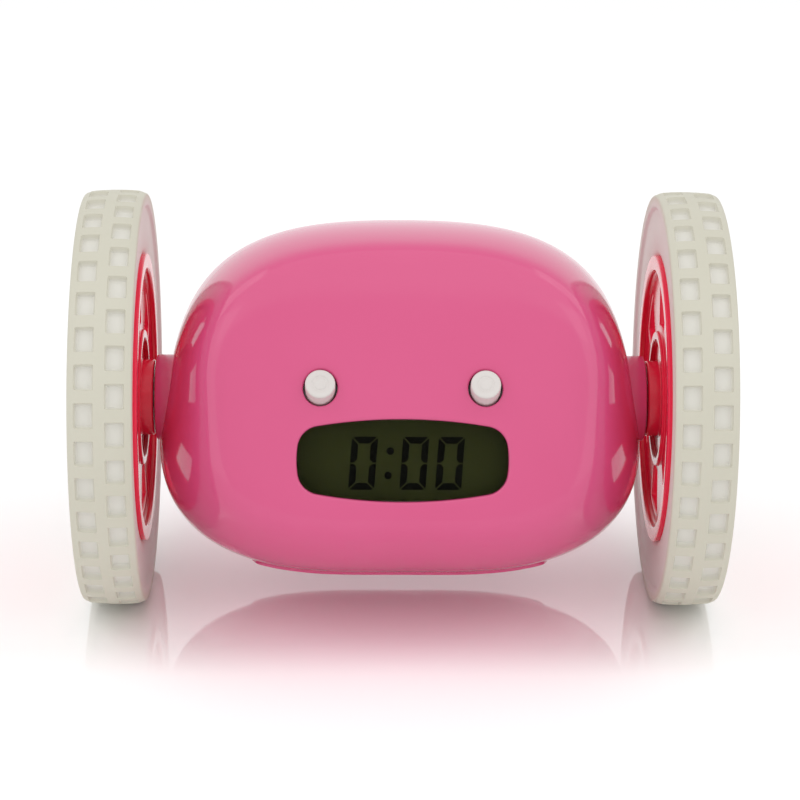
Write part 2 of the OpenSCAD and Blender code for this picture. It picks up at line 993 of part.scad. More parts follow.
// One opening between spokes, with sides that run out from the hub.
module spoke_window() {
  span = 13;
  along_x(web_x - 1, web_x + 4)
    difference() {
      polygon([[0, 0], [40 * cos(90 - span), 40 * sin(90 - span)],
        [40 * cos(90 + span), 40 * sin(90 + span)]]);
      circle(r = 16, $fn = 96);
      difference() {
        circle(r = 50, $fn = 96);
        circle(r = 25.5, $fn = 96);
      }
    }
}

module hub_cap() {
  bar(hub_end, hub_end + 1, hub_r);
  bar(hub_end + 0.9, hub_end + 1.7, hub_r - 1.2);
  bar(hub_end - 1.1, hub_end + 0.1, 3.2 - running);
}

module wheel_screw() {
  translate([axle_end, 0, 0])
    rotate([0, 90, 0])
      screw(1.2, 6, 2.6, 1.5);
}

module axle() {
  difference() {
    bar(frame_x - 1, axle_end, axle_r);
    bar(axle_end - 6, axle_end + 1, 1.2);
  }
}

// ================= gears =================

module axle_gear() {
  difference() {
    union() {
      gear(axle_teeth, narrow_x, narrow_w, 0, 0, pin_dir);
      bar(wide_x, narrow_x + 0.1, 4);
    }
    bar(wide_x - 1, narrow_x + narrow_w + 1, axle_r);
  }
}

module compound_gear() {
  difference() {
    union() {
      gear(large_teeth, wide_x, wide_w, pin_y, pin_z,
        mesh_dir);
      gear(small_teeth, wide_x + wide_w - 0.1, narrow_x + narrow_w
        - wide_x - wide_w + 0.1, pin_y, pin_z,
        pin_dir + 180 + 180 / small_teeth);
    }
    bar(wide_x - 1, narrow_x + narrow_w + 1, pin_r + running, pin_y, pin_z);
  }
}

module pinion() {
  gear(pinion_teeth, wide_x, wide_w, motor_y, motor_z,
    mesh_dir + 180 + 180 / pinion_teeth);
  bar(frame_x - 1, wide_x + 0.1, 0.8, motor_y, motor_z);
}

module gear_pin() {
  bar(frame_x, box_x + plate_w, pin_r, pin_y, pin_z);
}

// Outline of the gear housing, drawn in by g, in Y and Z.
module housing_core(g) {
  hull() {
    circle(r = 14.3 - g, $fn = 72);
    translate([pin_y, pin_z])
      circle(r = 11.3 - g, $fn = 72);
    translate([motor_y, motor_z])
      circle(r = 4.4 - g, $fn = 72);
  }
}

lugs = [[-11.6, -11.6], [25.6, -4.3], [-3, 16.4]];
lug_r = 2.4;
gear_screw_r = 0.9;

module housing() {
  housing_core(0);
  for (p = lugs)
    translate(p)
      circle(r = lug_r, $fn = 36);
}

module gear_frame() {
  difference() {
    union() {
      along_x(frame_x, frame_x + plate_w)
        housing();
      along_x(frame_x + plate_w - 0.1, box_x)
        difference() {
          housing();
          housing_core(1.3);
        }
    }
    bar(frame_x - 1, frame_x + 3, axle_r + running);
    bar(frame_x - 1, frame_x + 3, pin_r, pin_y, pin_z);
    bar(frame_x - 1, frame_x + 3, 3, motor_y, motor_z);
    for (p = lugs)
      bar(box_x - 6, box_x + 1, gear_screw_r, p[0], p[1]);
  }
}

module gear_cover() {
  difference() {
    union() {
      along_x(box_x, box_x + plate_w)
        housing();
      bar(box_x + plate_w - 0.1, box_x + 4.3, 4.6);
    }
    bar(box_x - 1, box_x + 6, axle_r + running);
    bar(box_x - 1, box_x + 3, pin_r, pin_y, pin_z);
    for (p = lugs)
      bar(box_x - 1, box_x + 3, gear_screw_r + 0.1, p[0], p[1]);
  }
}

module gear_screws() {
  for (p = lugs)
    translate([box_x + plate_w, p[0], p[1]])
      rotate([0, 90, 0])
        screw(gear_screw_r, 6.5, 1.8, 1.1);
}

module motor() {
  difference() {
    union() {
      translate([0, motor_y, motor_z])
        along_x(3, frame_x)
          rotate(motor_dir)
            intersection() {
              circle(r = motor_r, $fn = 96);
              square([0.75 * 2 * motor_r, 2 * motor_r], center = true);
            }
      bar(frame_x - 0.1, frame_x + plate_w - 0.1, 3, motor_y, motor_z);
    }
    bar(frame_x - 1, frame_x + 3, 0.8 + running, motor_y, motor_z);
  }
}

module bush() {
  difference() {
    union() {
      bar(bush_x - 1, collar_face - 0.1, bush_r);
      bar(bush_x - 2.2, bush_x - 1, bush_r + 1.4);
    }
    bar(bush_x - 4, collar_face + 1, axle_r + running);
  }
}

module left_tyre() {
  color(white)
    hand(-1)
      tyre();
}

module left_rim() {
  color(pink)
    hand(-1)
      rim();
}

module left_hub_cap() {
  color(pink)
    hand(-1)
      hub_cap();
}

module left_wheel_screw() {
  color(steel)
    hand(-1)
      wheel_screw();
}

module left_axle() {
  color(steel)
    hand(-1)
      axle();
}

module left_axle_gear() {
  color(white)
    hand(-1)
      axle_gear();
}

module left_bush() {
  color(white)
    hand(-1)
      bush();
}

module left_gear_frame() {
  color(grey)
    hand(-1)
      gear_frame();
}

module left_gear_cover() {
  color(grey)
    hand(-1)
      gear_cover();
}

module left_gear_screws() {
  color(steel)
    hand(-1)
      gear_screws();
}

module left_compound_gear() {
  color(white)
    hand(-1)
      compound_gear();
}

module left_gear_pin() {
  color(steel)
    hand(-1)
      gear_pin();
}

module left_motor() {
  color(steel)
    hand(-1)
      motor();
}

module left_pinion() {
  color([0.8, 0.7, 0.4])
    hand(-1)
      pinion();
}

module right_tyre() {
  color(white)
    hand(1)
      tyre();
}

module right_rim() {
  color(pink)
    hand(1)
      rim();
}

module right_hub_cap() {
  color(pink)
    hand(1)
      hub_cap();
}

module right_wheel_screw() {
  color(steel)
    hand(1)
      wheel_screw();
}

module right_axle() {
  color(steel)
    hand(1)
      axle();
}

module right_axle_gear() {
  color(white)
    hand(1)
      axle_gear();
}

module right_bush() {
  color(white)
    hand(1)
      bush();
}

module right_gear_frame() {
  color(grey)
    hand(1)
      gear_frame();
}

module right_gear_cover() {
  color(grey)
    hand(1)
      gear_cover();
}

module right_gear_screws() {
  color(steel)
    hand(1)
      gear_screws();
}

module right_compound_gear() {
  color(white)
    hand(1)
      compound_gear();
}

module right_gear_pin() {
  color(steel)
    hand(1)
      gear_pin();
}

module right_motor() {
  color(steel)
    hand(1)
      motor();
}

module right_pinion() {
  color([0.8, 0.7, 0.4])
    hand(1)
      pinion();
}

front_shell();
rear_shell();
battery_door();
battery_tray();
batteries();
cell_contacts();
lcd_lens();
lcd_frame();
lcd_glass();
contact_strip();
main_board();
board_parts();
button_board();
snooze_board();
rear_board();
press_switches();
slide_switch();
hour_button();
minute_button();
snooze_button();
time_key();
alarm_key();
run_switch();
speaker();
case_screws();
board_screws();
left_tyre();
left_rim();
left_hub_cap();
left_wheel_screw();
left_axle();
left_axle_gear();
left_bush();
left_gear_frame();
left_gear_cover();
left_gear_screws();
left_compound_gear();
left_gear_pin();
left_motor();
left_pinion();
right_tyre();
right_rim();
right_hub_cap();
right_wheel_screw();
right_axle();
right_axle_gear();
right_bush();
right_gear_frame();
right_gear_cover();
right_gear_screws();
right_compound_gear();
right_gear_pin();
right_motor();
right_pinion();
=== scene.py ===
import json
import math

import bmesh
import bpy
import numpy as np
from mathutils import Matrix, Vector


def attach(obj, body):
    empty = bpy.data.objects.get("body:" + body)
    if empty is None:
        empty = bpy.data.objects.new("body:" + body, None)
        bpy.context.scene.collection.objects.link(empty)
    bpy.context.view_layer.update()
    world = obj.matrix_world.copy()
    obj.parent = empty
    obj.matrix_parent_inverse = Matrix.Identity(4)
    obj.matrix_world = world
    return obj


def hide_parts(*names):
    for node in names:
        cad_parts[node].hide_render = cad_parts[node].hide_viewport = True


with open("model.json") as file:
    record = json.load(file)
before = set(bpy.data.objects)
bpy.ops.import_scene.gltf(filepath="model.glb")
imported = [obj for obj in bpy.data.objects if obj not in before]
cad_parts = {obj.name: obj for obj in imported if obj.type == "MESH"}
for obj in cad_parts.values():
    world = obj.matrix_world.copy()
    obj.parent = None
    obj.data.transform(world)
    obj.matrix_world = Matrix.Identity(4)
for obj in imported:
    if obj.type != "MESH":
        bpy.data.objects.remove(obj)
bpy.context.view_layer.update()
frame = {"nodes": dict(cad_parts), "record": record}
nodes = frame["nodes"]
mm = 0.001
axleHeight = 44.5  # mm; every shape below is drawn about the wheel axle


# sRGB hex code to a linear colour.
def hexLinear(code):
    parts = [int(code[i:i + 2], 16) / 255 for i in (0, 2, 4)]
    return tuple(c / 12.92 if c <= 0.04045 else ((c + 0.055) / 1.055) ** 2.4 for c in parts) + (1.0,)


# Adds a node with its settings, input values and links.
def addNode(tree, kind, settings=None, values=None, links=None):
    node = tree.nodes.new(kind)
    for key, value in (settings or {}).items():
        setattr(node, key, value)
    for key, value in (values or {}).items():
        node.inputs[key].default_value = value
    for key, socket in (links or {}).items():
        tree.links.new(socket, node.inputs[key])
    return node


def newPiece(name, mesh):
    piece = bpy.data.objects.new(name, mesh)
    bpy.context.scene.collection.objects.link(piece)
    return piece


# Closed mesh through rings of points; start and end are tips, closed joins the last ring to the first.
def ringMesh(name, rings, start=None, end=None, closed=False):
    count = len(rings[0])
    points = np.concatenate(rings)
    extra = [p for p in (start, end) if p is not None]
    if extra:
        points = np.concatenate([points, np.array(extra)])
    points = points * mm + np.array([0, 0, axleHeight * mm])
    faces = []
    for i in range(len(rings) if closed else len(rings) - 1):
        a, b = i * count, (i + 1) % len(rings) * count
        faces += [(a + j, a + (j + 1) % count, b + (j + 1) % count, b + j) for j in range(count)]
    tip = len(rings) * count
    if start is not None:
        faces += [(tip, (j + 1) % count, j) for j in range(count)]
        tip += 1
    if end is not None:
        a = (len(rings) - 1) * count
        faces += [(tip, a + j, a + (j + 1) % count) for j in range(count)]
    mesh = bpy.data.meshes.new(name)
    mesh.from_pydata([tuple(p) for p in points], [], faces)
    work = bmesh.new()
    work.from_mesh(mesh)
    bmesh.ops.recalc_face_normals(work, faces=work.faces)
    work.to_mesh(mesh)
    work.free()
    return mesh


def smooth(mesh, angle=35):
    mesh.polygons.foreach_set("use_smooth", [True] * len(mesh.polygons))
    mesh.set_sharp_from_angle(angle=math.radians(angle))
    return mesh


def joined(name, meshes):
    work = bmesh.new()
    for mesh in meshes:
        work.from_mesh(mesh)
    whole = bpy.data.meshes.new(name)
    work.to_mesh(whole)
    work.free()
    return whole


# Cuts the cutters out of a mesh and returns what is left.
def carved(mesh, cutters):
    body = newPiece("carveBody", mesh)
    tool = newPiece("carveTool", joined("carveTool", cutters))
    step = body.modifiers.new("cut", "BOOLEAN")
    step.object = tool
    step.operation = "DIFFERENCE"
    step.solver = "MANIFOLD"
    bpy.context.view_layer.update()
    left = bpy.data.meshes.new_from_object(body.evaluated_get(bpy.context.evaluated_depsgraph_get()))
    for thing in (body, tool):
        bpy.data.objects.remove(thing)
    return left


# Rounds the corners of a closed outline; radii holds one radius for each corner.
def rounded(points, radii, steps=5):
    out = []
    count = len(points)
    for i in range(count):
        p = np.array(points[i], float)
        a = np.array(points[i - 1], float) - p
        b = np.array(points[(i + 1) % count], float) - p
        la, lb = np.linalg.norm(a), np.linalg.norm(b)
        if radii[i] <= 0:
            out.append(p)
            continue
        half = math.acos(max(-1, min(1, float(a @ b) / la / lb))) / 2
        reach = min(radii[i] / math.tan(half), 0.49 * la, 0.49 * lb)  # neighbours never meet
        radius = reach * math.tan(half)
        mid = a / la + b / lb
        centre = p + mid / np.linalg.norm(mid) * radius / math.sin(half)
        first, last = p + a / la * reach - centre, p + b / lb * reach - centre
        for k in range(steps + 1):
            t = k / steps
            v = first * (1 - t) + last * t
            out.append(centre + v / np.linalg.norm(v) * radius)
    return np.array(out)


# The case is one smooth closed form: a rounded block about a centre on the joint plane, cut by a domed face.
# Distances are from that centre in mm, tilts in degrees, and a higher round makes a crisper edge.
caseShape = {
    "centre": (0, 10, 3.5),
    "sideHalf": 48.9, "sideTilt": 12.75,
    "topRise": 32.5, "topTilt": 13.5,
    "bottomDrop": 40.5, "bottomTilt": 3.7,
    "back": 28, "front": 53.1,
    "faceRise": 39.8, "faceTilt": 24, "faceRadius": 285,
    "sideRound": 2.9, "roundChange": 0.47, "girthRound": 2.05, "edgeRound": 38,
    "wall": 2,
    "size": 45, "miss": 0.006,  # rough size, and how far off the skin its points may lie
}
caseCentre = np.array(caseShape["centre"], float)


def planeShare(d, normal, height, power):
    return (np.maximum(0, d @ np.array(normal)) / height) ** power


# 1 on the surface drawn in by depth, less inside; v is measured from the case centre.
def caseGauge(v, depth=0.0):
    c = caseShape
    length = np.linalg.norm(v, axis=1)
    d = v / length[:, None]
    side, top, bottom, lean = (math.radians(c[k]) for k in ("sideTilt", "topTilt", "bottomTilt", "faceTilt"))
    e = c["sideRound"] + c["roundChange"] * d[:, 2]
    g = c["girthRound"]
    half = c["sideHalf"] - depth
    across = sum(planeShare(d, (s * math.cos(side), 0, math.sin(side)), half, e) for s in (-1, 1))
    girth = (planeShare(d, (0, math.sin(top), math.cos(top)), c["topRise"] - depth, g)
             + planeShare(d, (0, math.sin(bottom), -math.cos(bottom)), c["bottomDrop"] - depth, g)
             + planeShare(d, (0, 1, 0), c["back"] - depth, g)
             + planeShare(d, (0, -1, 0), c["front"] - depth, g))
    block = (across + girth ** (e / g)) ** (1 / e)
    middle = np.array([0, -math.cos(lean), math.sin(lean)]) * (c["faceRise"] - c["faceRadius"])
    k = d @ middle
    dome = 1 / (k + np.sqrt(k * k + (c["faceRadius"] - depth) ** 2 - middle @ middle))
    return length * (block ** c["edgeRound"] + dome ** c["edgeRound"]) ** (1 / c["edgeRound"])


def caseSkin(directions, depth=0.0):
    d = directions / np.linalg.norm(directions, axis=1)[:, None]
    return caseCentre + d / caseGauge(d, depth)[:, None]


def caseNormals(points, depth=0.0):
    v = points - caseCentre
    step = 0.01
    slope = np.stack([caseGauge(v + step * axis, depth) - caseGauge(v - step * axis, depth)
                      for axis in np.eye(3)], 1)
    return slope / np.linalg.norm(slope, axis=1)[:, None]


# Gives loops that lie on the case surface the surface's own normals, so that cuts don't dent the shine.
def polish(mesh, depth=0.0, angle=35):
    smooth(mesh, angle)
    points = np.zeros(len(mesh.vertices) * 3)
    mesh.vertices.foreach_get("co", points)
    points = points.reshape(-1, 3) / mm - np.array([0, 0, axleHeight])
    onSkin = np.abs(caseGauge(points - caseCentre, depth) - 1) * caseShape["size"] < caseShape["miss"]
    normals = caseNormals(points, depth)
    loops = []
    for face in mesh.polygons:
        corners = list(face.vertices)
        outward = float(np.dot(face.normal, normals[corners[0]])) > 0.5
        shown = outward and all(onSkin[v] for v in corners)
        loops += [tuple(normals[v]) if shown else (0, 0, 0) for v in corners]
    mesh.normals_split_custom_set(loops)
    return mesh


# Places on the case: degrees turned about X, then mm along the turned line.
places = {
    "window": (73, -11.2), "button": (49, -9.32), "snooze": (-45, 0), "speaker": (-100, 0), "back": (-90, 0),
}
searchSpan = (5.0, 60.0)  # mm above a place, where the case surface is looked for


def placed(place, x, u, n):
    turn, shift = places[place]
    a = math.radians(turn)
    x, u, n = np.broadcast_arrays(np.asarray(x, float), np.asarray(u, float) + shift, np.asarray(n, float))
    return np.stack([x, u * math.cos(a) - n * math.sin(a), u * math.sin(a) + n * math.cos(a)], -1)


# Height of the case surface above a place, drawn in by depth.
def heightAt(place, outline, depth=0.0):
    x, u = outline[:, 0], outline[:, 1]
    low, high = (np.full(len(x), k) for k in searchSpan)
    for _ in range(40):  # each turn halves the error
        mid = (low + high) / 2
        inside = caseGauge(placed(place, x, u, mid) - caseCentre, depth) < 1
        low, high = np.where(inside, mid, low), np.where(inside, high, mid)
    return low


# An outline is a function that gives its points grown by g, in mm along a place.
def circleOutline(x, u, radius, count=72):
    def grown(g):
        a = np.linspace(0, 2 * math.pi, count, endpoint=False)
        return np.stack([x + (radius + g) * np.cos(a), u + (radius + g) * np.sin(a)], 1)
    return grown


def slotOutline(half, rise, count=36):
    def grown(g):
        a = np.linspace(-math.pi / 2, math.pi / 2, count)
        right = np.stack([half - rise + (rise + g) * np.cos(a), (rise + g) * np.sin(a)], 1)
        return np.concatenate([right, -right])
    return grown


def boxOutline(x0, x1, u0, u1, radius, steps=6):
    def grown(g):
        corners = [(x0 - g, u0 - g), (x1 + g, u0 - g), (x1 + g, u1 + g), (x0 - g, u1 + g)]
        return rounded(corners, [radius + g] * 4, steps)
    return grown


# Barrel outline of the display window: bulging sides and a flatter top and bottom.
windowShape = {"half": 21.5, "rise": 8.25, "sideBulge": 20.4, "topBulge": 104, "corner": 4.6}


def windowOutline(g):
    w = windowShape
    sideRadius, topRadius = w["sideBulge"] - w["corner"], w["topBulge"] - w["corner"]
    sideX, topU = w["half"] - w["sideBulge"], w["rise"] - w["topBulge"]
    gap = math.hypot(sideX, topU)
    lean = math.atan2(topU, -sideX)
    along = (gap ** 2 + sideRadius ** 2 - topRadius ** 2) / (2 * gap)
    turn = math.acos(along / sideRadius)
    corner = np.array([sideX + sideRadius * math.cos(lean + turn), sideRadius * math.sin(lean + turn)])
    sideAngle = math.atan2(corner[1], corner[0] - sideX)
    topAngle = math.atan2(corner[1] - topU, corner[0])
    quarter = []
    for a in np.linspace(0, sideAngle, 12, endpoint=False):
        quarter.append((sideX + (w["sideBulge"] + g) * math.cos(a), (w["sideBulge"] + g) * math.sin(a)))
    for a in np.linspace(sideAngle, topAngle, 12, endpoint=False):
        quarter.append(tuple(corner + (w["corner"] + g) * np.array([math.cos(a), math.sin(a)])))
    for a in np.linspace(topAngle, math.pi / 2, 16):
        quarter.append(((w["topBulge"] + g) * math.cos(a), topU + (w["topBulge"] + g) * math.sin(a)))
    quarter = np.array(quarter)
    left = (quarter * [-1, 1])[::-1][1:]
    upper = np.concatenate([quarter, left])
    lower = (upper * [1, -1])[::-1][1:-1]
    return np.concatenate([upper, lower])


# Edge of an opening: turns of its rounding in degrees, then how far the tool runs on outside it, in mm.
openingEdge = {"turns": (18, 42, 66, 90), "wider": 0.57, "higher": 0.19, "above": 4}


# A tool that cuts an opening with a rounded edge, which follows the surface all the way round.
def openingTool(place, outline, fillet, bottom):
    e = openingEdge
    turns = [math.radians(a) for a in e["turns"]]
    fillets = [(fillet * (1 - math.sin(a)), fillet * (1 - math.cos(a))) for a in turns]
    wide, low = fillets[0]
    rings = []
    for grow, depth in [(wide + e["wider"], -e["above"]), (wide + e["wider"], low - e["higher"])] + fillets:
        edge = outline(grow)
        rings.append(placed(place, edge[:, 0], edge[:, 1], heightAt(place, edge) - depth))
    edge = outline(0)
    rings.append(placed(place, edge[:, 0], edge[:, 1], bottom))
    middle = edge.mean(0)
    return ringMesh("tool", rings, rings[0].mean(0), placed(place, middle[0], middle[1], bottom))


# Battery door, seen from the case centre. Rings of the tool that cuts its opening: growth, then depth.
doorShape = {
    "half": 36, "front": -21.5, "rear": 24, "level": -37.25, "corner": 2.5, "gap": 0.3, "proud": 0.6,
    "thick": 1.8, "pointGap": 1.6,
    "edge": ((0.7, 0), (0.4, 0.06), (0.12, 0.28), (0, 0.65)),  # in from the side, down from the top
    "toolRings": ((0.3, -4), (0.3, -0.15), (0.12, 0.06), (0, 0.25), (0, 3.2)), "toolEnds": (-55, -24),
}
doorMiddle = (doorShape["front"] + doorShape["rear"]) / 2


def doorRing(grow, depth, scale=1.0):
    d = doorShape
    edge = boxOutline(-d["half"], d["half"], d["front"], d["rear"], d["corner"])(grow)
    sides = []
    for i in range(len(edge)):  # the long sides need more points to follow the curve of the case
        a, b = edge[i], edge[(i + 1) % len(edge)]
        parts = max(1, int(np.linalg.norm(b - a) / d["pointGap"]))
        sides += [a + (b - a) * k / parts for k in range(parts)]
    edge = np.array(sides)
    middle = np.array([0, doorMiddle])
    edge = middle + (edge - middle) * scale
    directions = np.column_stack([edge, np.full(len(edge), d["level"])]) - caseCentre
    return caseSkin(directions, depth)


def doorTool():
    rings = [doorRing(grow, depth) for grow, depth in doorShape["toolRings"]]
    low, high = doorShape["toolEnds"]
    return ringMesh("tool", rings, (0, doorMiddle, low), (0, doorMiddle, high))


# Rings of a case half run from its pole to the joint seam and back along the inner wall, in degrees.
halfMesh = {
    "rings": 120, "sides": 240, "innerRings": 30, "innerPole": 3,
    "seam": 0.16, "seamShare": 0.3, "seamTurns": (89.72, 89.9),  # the seam's edge is drawn in a little
}


def halfCase(name, side):
    h = halfMesh
    angles = np.linspace(0, 2 * math.pi, h["sides"], endpoint=False)

    def ring(tilt, depth):
        t = math.radians(tilt)
        ways = np.stack([math.sin(t) * np.cos(angles), np.full(h["sides"], side * math.cos(t)),
                         math.sin(t) * np.sin(angles)], 1)
        return caseSkin(ways, depth)
    before, inside = h["seamTurns"]
    rings = [ring(90 * i / h["rings"], 0) for i in range(1, h["rings"])]
    rings += [ring(before, 0), ring(inside, h["seam"] * h["seamShare"]), ring(90, h["seam"])]
    rings += [ring(a, caseShape["wall"]) for a in np.linspace(90, h["innerPole"], h["innerRings"])]
    pole = np.array([[0, side, 0]], float)
    return ringMesh(name, rings, caseSkin(pole)[0], caseSkin(pole, caseShape["wall"])[0])


# Lathes a closed outline of (x, radius) points about the axle, for the right or left side.
def axleLathe(name, outline, side, count):
    a = np.linspace(0, 2 * math.pi, count, endpoint=False)
    rings = [np.stack([np.full(count, side * x), r * np.cos(a), r * np.sin(a)], 1) for x, r in outline]
    return ringMesh(name, rings, closed=True)


# Lathes a line of (radius, height) points about an axis that stands on a place; both ends close in a tip.
def turnedPiece(name, place, x, u, line):
    rings = []
    for radius, height in line:
        edge = circleOutline(x, u, radius)(0)
        rings.append(placed(place, edge[:, 0], edge[:, 1], height))
    return ringMesh(name, rings, placed(place, x, u, line[0][1]), placed(place, x, u, line[-1][1]))


print("case: front half")
frontParts = {
    "windowFit": 0.2, "windowFillet": 0.55, "windowFloor": 24,
    "buttonX": 16.9, "buttonHole": 3.55, "buttonFillet": 0.35, "buttonFloor": 22,
    "collar": 9.2, "collarStart": 44, "collarFace": 52.4, "collarRound": (0.5, 0.2), "bush": 4.2,
}


# Round collar that carries the axle's bush, as (x, radius) corners.
def axleCollar(side):
    f = frontParts
    corners = [(f["collarStart"], f["bush"]), (f["collarStart"], f["collar"]),
               (f["collarFace"], f["collar"]), (f["collarFace"], f["bush"])]
    return smooth(axleLathe("collar", rounded(corners, [0, 0, *f["collarRound"]]), side, 96))


def frontTools():
    f = frontParts

    def window(grow):
        return windowOutline(grow + f["windowFit"])
    tools = [openingTool("window", window, f["windowFillet"], f["windowFloor"])]
    for s in (-1, 1):
        hole = circleOutline(s * f["buttonX"], 0, f["buttonHole"])
        tools.append(openingTool("button", hole, f["buttonFillet"], f["buttonFloor"]))
    return tools


frontMesh = polish(carved(carved(halfCase("frontCase", -1), frontTools()), [doorTool()]))
frontCase = newPiece("frontCase", frontMesh)
collarPiece = newPiece("axleCollars", smooth(joined("axleCollars", [axleCollar(s) for s in (-1, 1)])))

print("case: rear half")
rearParts = {
    "joint": 10, "holeFloor": 26, "holeFillet": 0.3,
    "snoozeHole": (13.4, 4.9), "snoozeFillet": 0.5,
    "keyX": 14, "keyZ": 11, "keyHole": 3.2, "keyFillet": 0.35,
    "slot": (5.2, 2, 0.6),  # half length, half height and corner of the run switch's slot
    "speakerRing": 5.4, "speakerHole": 0.9, "speakerFillet": 0.2, "speakerFloor": 28, "speakerHoles": 6,
    "screws": ((22, 28.2), (33, -20)), "screwSeat": 16, "headHole": 2.4, "headFloor": 15,
    "post": 3.4, "postSink": 1.0, "bore": 1.25,
}


def rearTools():
    r = rearParts
    long, high, corner = r["slot"]
    tools = [openingTool("snooze", slotOutline(*r["snoozeHole"]), r["snoozeFillet"], r["holeFloor"])]
    for s in (-1, 1):
        hole = circleOutline(s * r["keyX"], -r["keyZ"], r["keyHole"])
        tools.append(openingTool("back", hole, r["keyFillet"], r["holeFloor"]))
    slot = boxOutline(-long, long, -r["keyZ"] - high, -r["keyZ"] + high, corner)
    tools.append(openingTool("back", slot, r["holeFillet"], r["holeFloor"]))
    for s in (-1, 1):
        for x, z in r["screws"]:
            hole = circleOutline(s * x, -z, r["headHole"], 48)
            tools.append(openingTool("back", hole, r["holeFillet"], r["headFloor"]))
    for i in range(r["speakerHoles"]):
        a = 2 * math.pi * i / r["speakerHoles"]
        x, u = r["speakerRing"] * math.cos(a), r["speakerRing"] * math.sin(a)
        hole = circleOutline(x, u, r["speakerHole"], 32)
        tools.append(openingTool("speaker", hole, r["speakerFillet"], r["speakerFloor"]))
    return tools


# Screw post inside the rear half, from the joint to the wall round a sunk screw.
def screwPost(x, z):
    r = rearParts
    outer, inner, bore = (circleOutline(x, -z, r[k], 48)(0) for k in ("post", "headHole", "bore"))
    seam, seat = r["joint"], r["screwSeat"]
    outerTop, innerTop = (heightAt("back", edge, r["postSink"]) for edge in (outer, inner))
    line = [(outer, seam), (outer, outerTop), (inner, innerTop), (inner, seat), (bore, seat), (bore, seam)]
    rings = [placed("back", edge[:, 0], edge[:, 1], height) for edge, height in line]
    return ringMesh("post", rings, closed=True)


rearCase = newPiece("rearCase", polish(carved(carved(halfCase("rearCase", 1), rearTools()), [doorTool()])))
posts = newPiece("screwPosts", smooth(joined("screwPosts", [
    screwPost(s * x, z) for s in (-1, 1) for x, z in rearParts["screws"]])))

print("battery door")
hookShape = {
    "x": 10, "half": 3, "corner": 0.2, "top": -28.3, "front": 18.8,
    "arms": ((-31.9, 20.6), (-29.3, 22.6)),  # low end and rear side of a hook's two arms
}


def doorMesh():
    d = doorShape
    shares = (0.04, 0.1, 0.2, 0.3, 0.4, 0.5, 0.6, 0.7, 0.8, 0.9, 0.96)
    rings = [doorRing(-d["gap"], -d["proud"], k) for k in shares]
    rings += [doorRing(-d["gap"] - inward, -d["proud"] + down) for inward, down in d["edge"]]
    rings += [doorRing(-d["gap"], d["thick"], k) for k in (1, 0.8, 0.5, 0.2)]
    return ringMesh("batteryDoor", rings, rings[0].mean(0), rings[-1].mean(0))


# The door turns on these two hooks.
def doorHook(side):
    h = hookShape
    x, front, top = side * h["x"], h["front"], h["top"]
    arms = []
    for low, rear in h["arms"]:
        box = boxOutline(x - h["half"], x + h["half"], front, rear, h["corner"], 2)(0)
        rings = [np.column_stack([box, np.full(len(box), z)]) for z in (low, top)]
        middle = (front + rear) / 2
        arms.append(smooth(ringMesh("hook", rings, (x, middle, low), (x, middle, top))))
    return arms


batteryDoor = newPiece("batteryDoor", polish(doorMesh(), -doorShape["proud"], angle=50))
doorHooks = newPiece("doorHooks", smooth(joined("doorHooks", doorHook(-1) + doorHook(1))))

print("display")
displayShape = {"recess": 0.5, "seat": 28.5, "base": 26.9, "flange": 0.8, "edge": 0.35}


# A piece that fills an outline and follows the case surface above, with a rounded edge and a flange below.
def fittedPlug(name, place, outline, rise, size):
    edge, seat, base = size["edge"], size["seat"], size["base"]
    rings = []
    full = outline(-edge)
    middle = full.mean(0)
    for k in (0.06, 0.2, 0.35, 0.5, 0.65, 0.8, 0.92):
        part = middle + (full - middle) * k
        rings.append(placed(place, part[:, 0], part[:, 1], heightAt(place, part) + rise))
    for a in (0, 20, 45, 70, 90):
        t = math.radians(a)
        part = outline(-edge * (1 - math.sin(t)))
        height = heightAt(place, part) + rise - edge * (1 - math.cos(t))
        rings.append(placed(place, part[:, 0], part[:, 1], height))
    for grow, height in ((0, seat), (size["flange"], seat), (size["flange"], base)):
        part = outline(grow)
        rings.append(placed(place, part[:, 0], part[:, 1], height))
    top = placed(place, middle[0], middle[1], heightAt(place, middle[None])[0] + rise)
    return smooth(ringMesh(name, rings, top, placed(place, middle[0], middle[1], base)), angle=30)


lens = newPiece("displayLens", fittedPlug(
    "displayLens", "window", windowOutline, -displayShape["recess"], displayShape))

digitShape = {
    "height": 10.95, "width": 5.4, "stroke": 1.42, "slant": 4.1, "gap": 0.2, "corner": 0.12,
    "starts": (-11.17, -0.62, 6.73), "base": -6.4, "face": 26.71, "thick": 0.04,
    "dots": ((-2.5, 1.6), (-2.93, -3.44)), "dot": 0.78,
}


# One stroke of a digit as a flat bar with slanted ends, in the digit's own upright frame.
def strokeOutline(kind):
    g = digitShape
    w, h, t, q = g["width"], g["height"], g["stroke"], g["gap"]
    half, foot, step, flank = h / 2, q * 0.7, t * 0.45, t * 0.55  # the slanted end at the waist
    flat = {
        "top": [(q, h), (w - q, h), (w - t - q, h - t), (t + q, h - t)],
        "bottom": [(q, 0), (t + q, t), (w - t - q, t), (w - q, 0)],
        "upperLeft": [(0, h - q), (0, half + foot), (flank, half + foot),
                      (t, half + step + q), (t, h - t - q)],
        "lowerLeft": [(0, q), (t, t + q), (t, half - step - q), (flank, half - foot), (0, half - foot)],
    }
    if kind in flat:
        return flat[kind]
    mirror = {"upperRight": "upperLeft", "lowerRight": "lowerLeft"}[kind]
    return [(w - x, y) for x, y in flat[mirror]][::-1]


def flatShape(points, low, high):
    edge = np.array(points)
    rings = [placed("window", edge[:, 0], edge[:, 1], n) for n in (low, high)]
    return ringMesh("mark", rings, rings[0].mean(0), rings[1].mean(0))


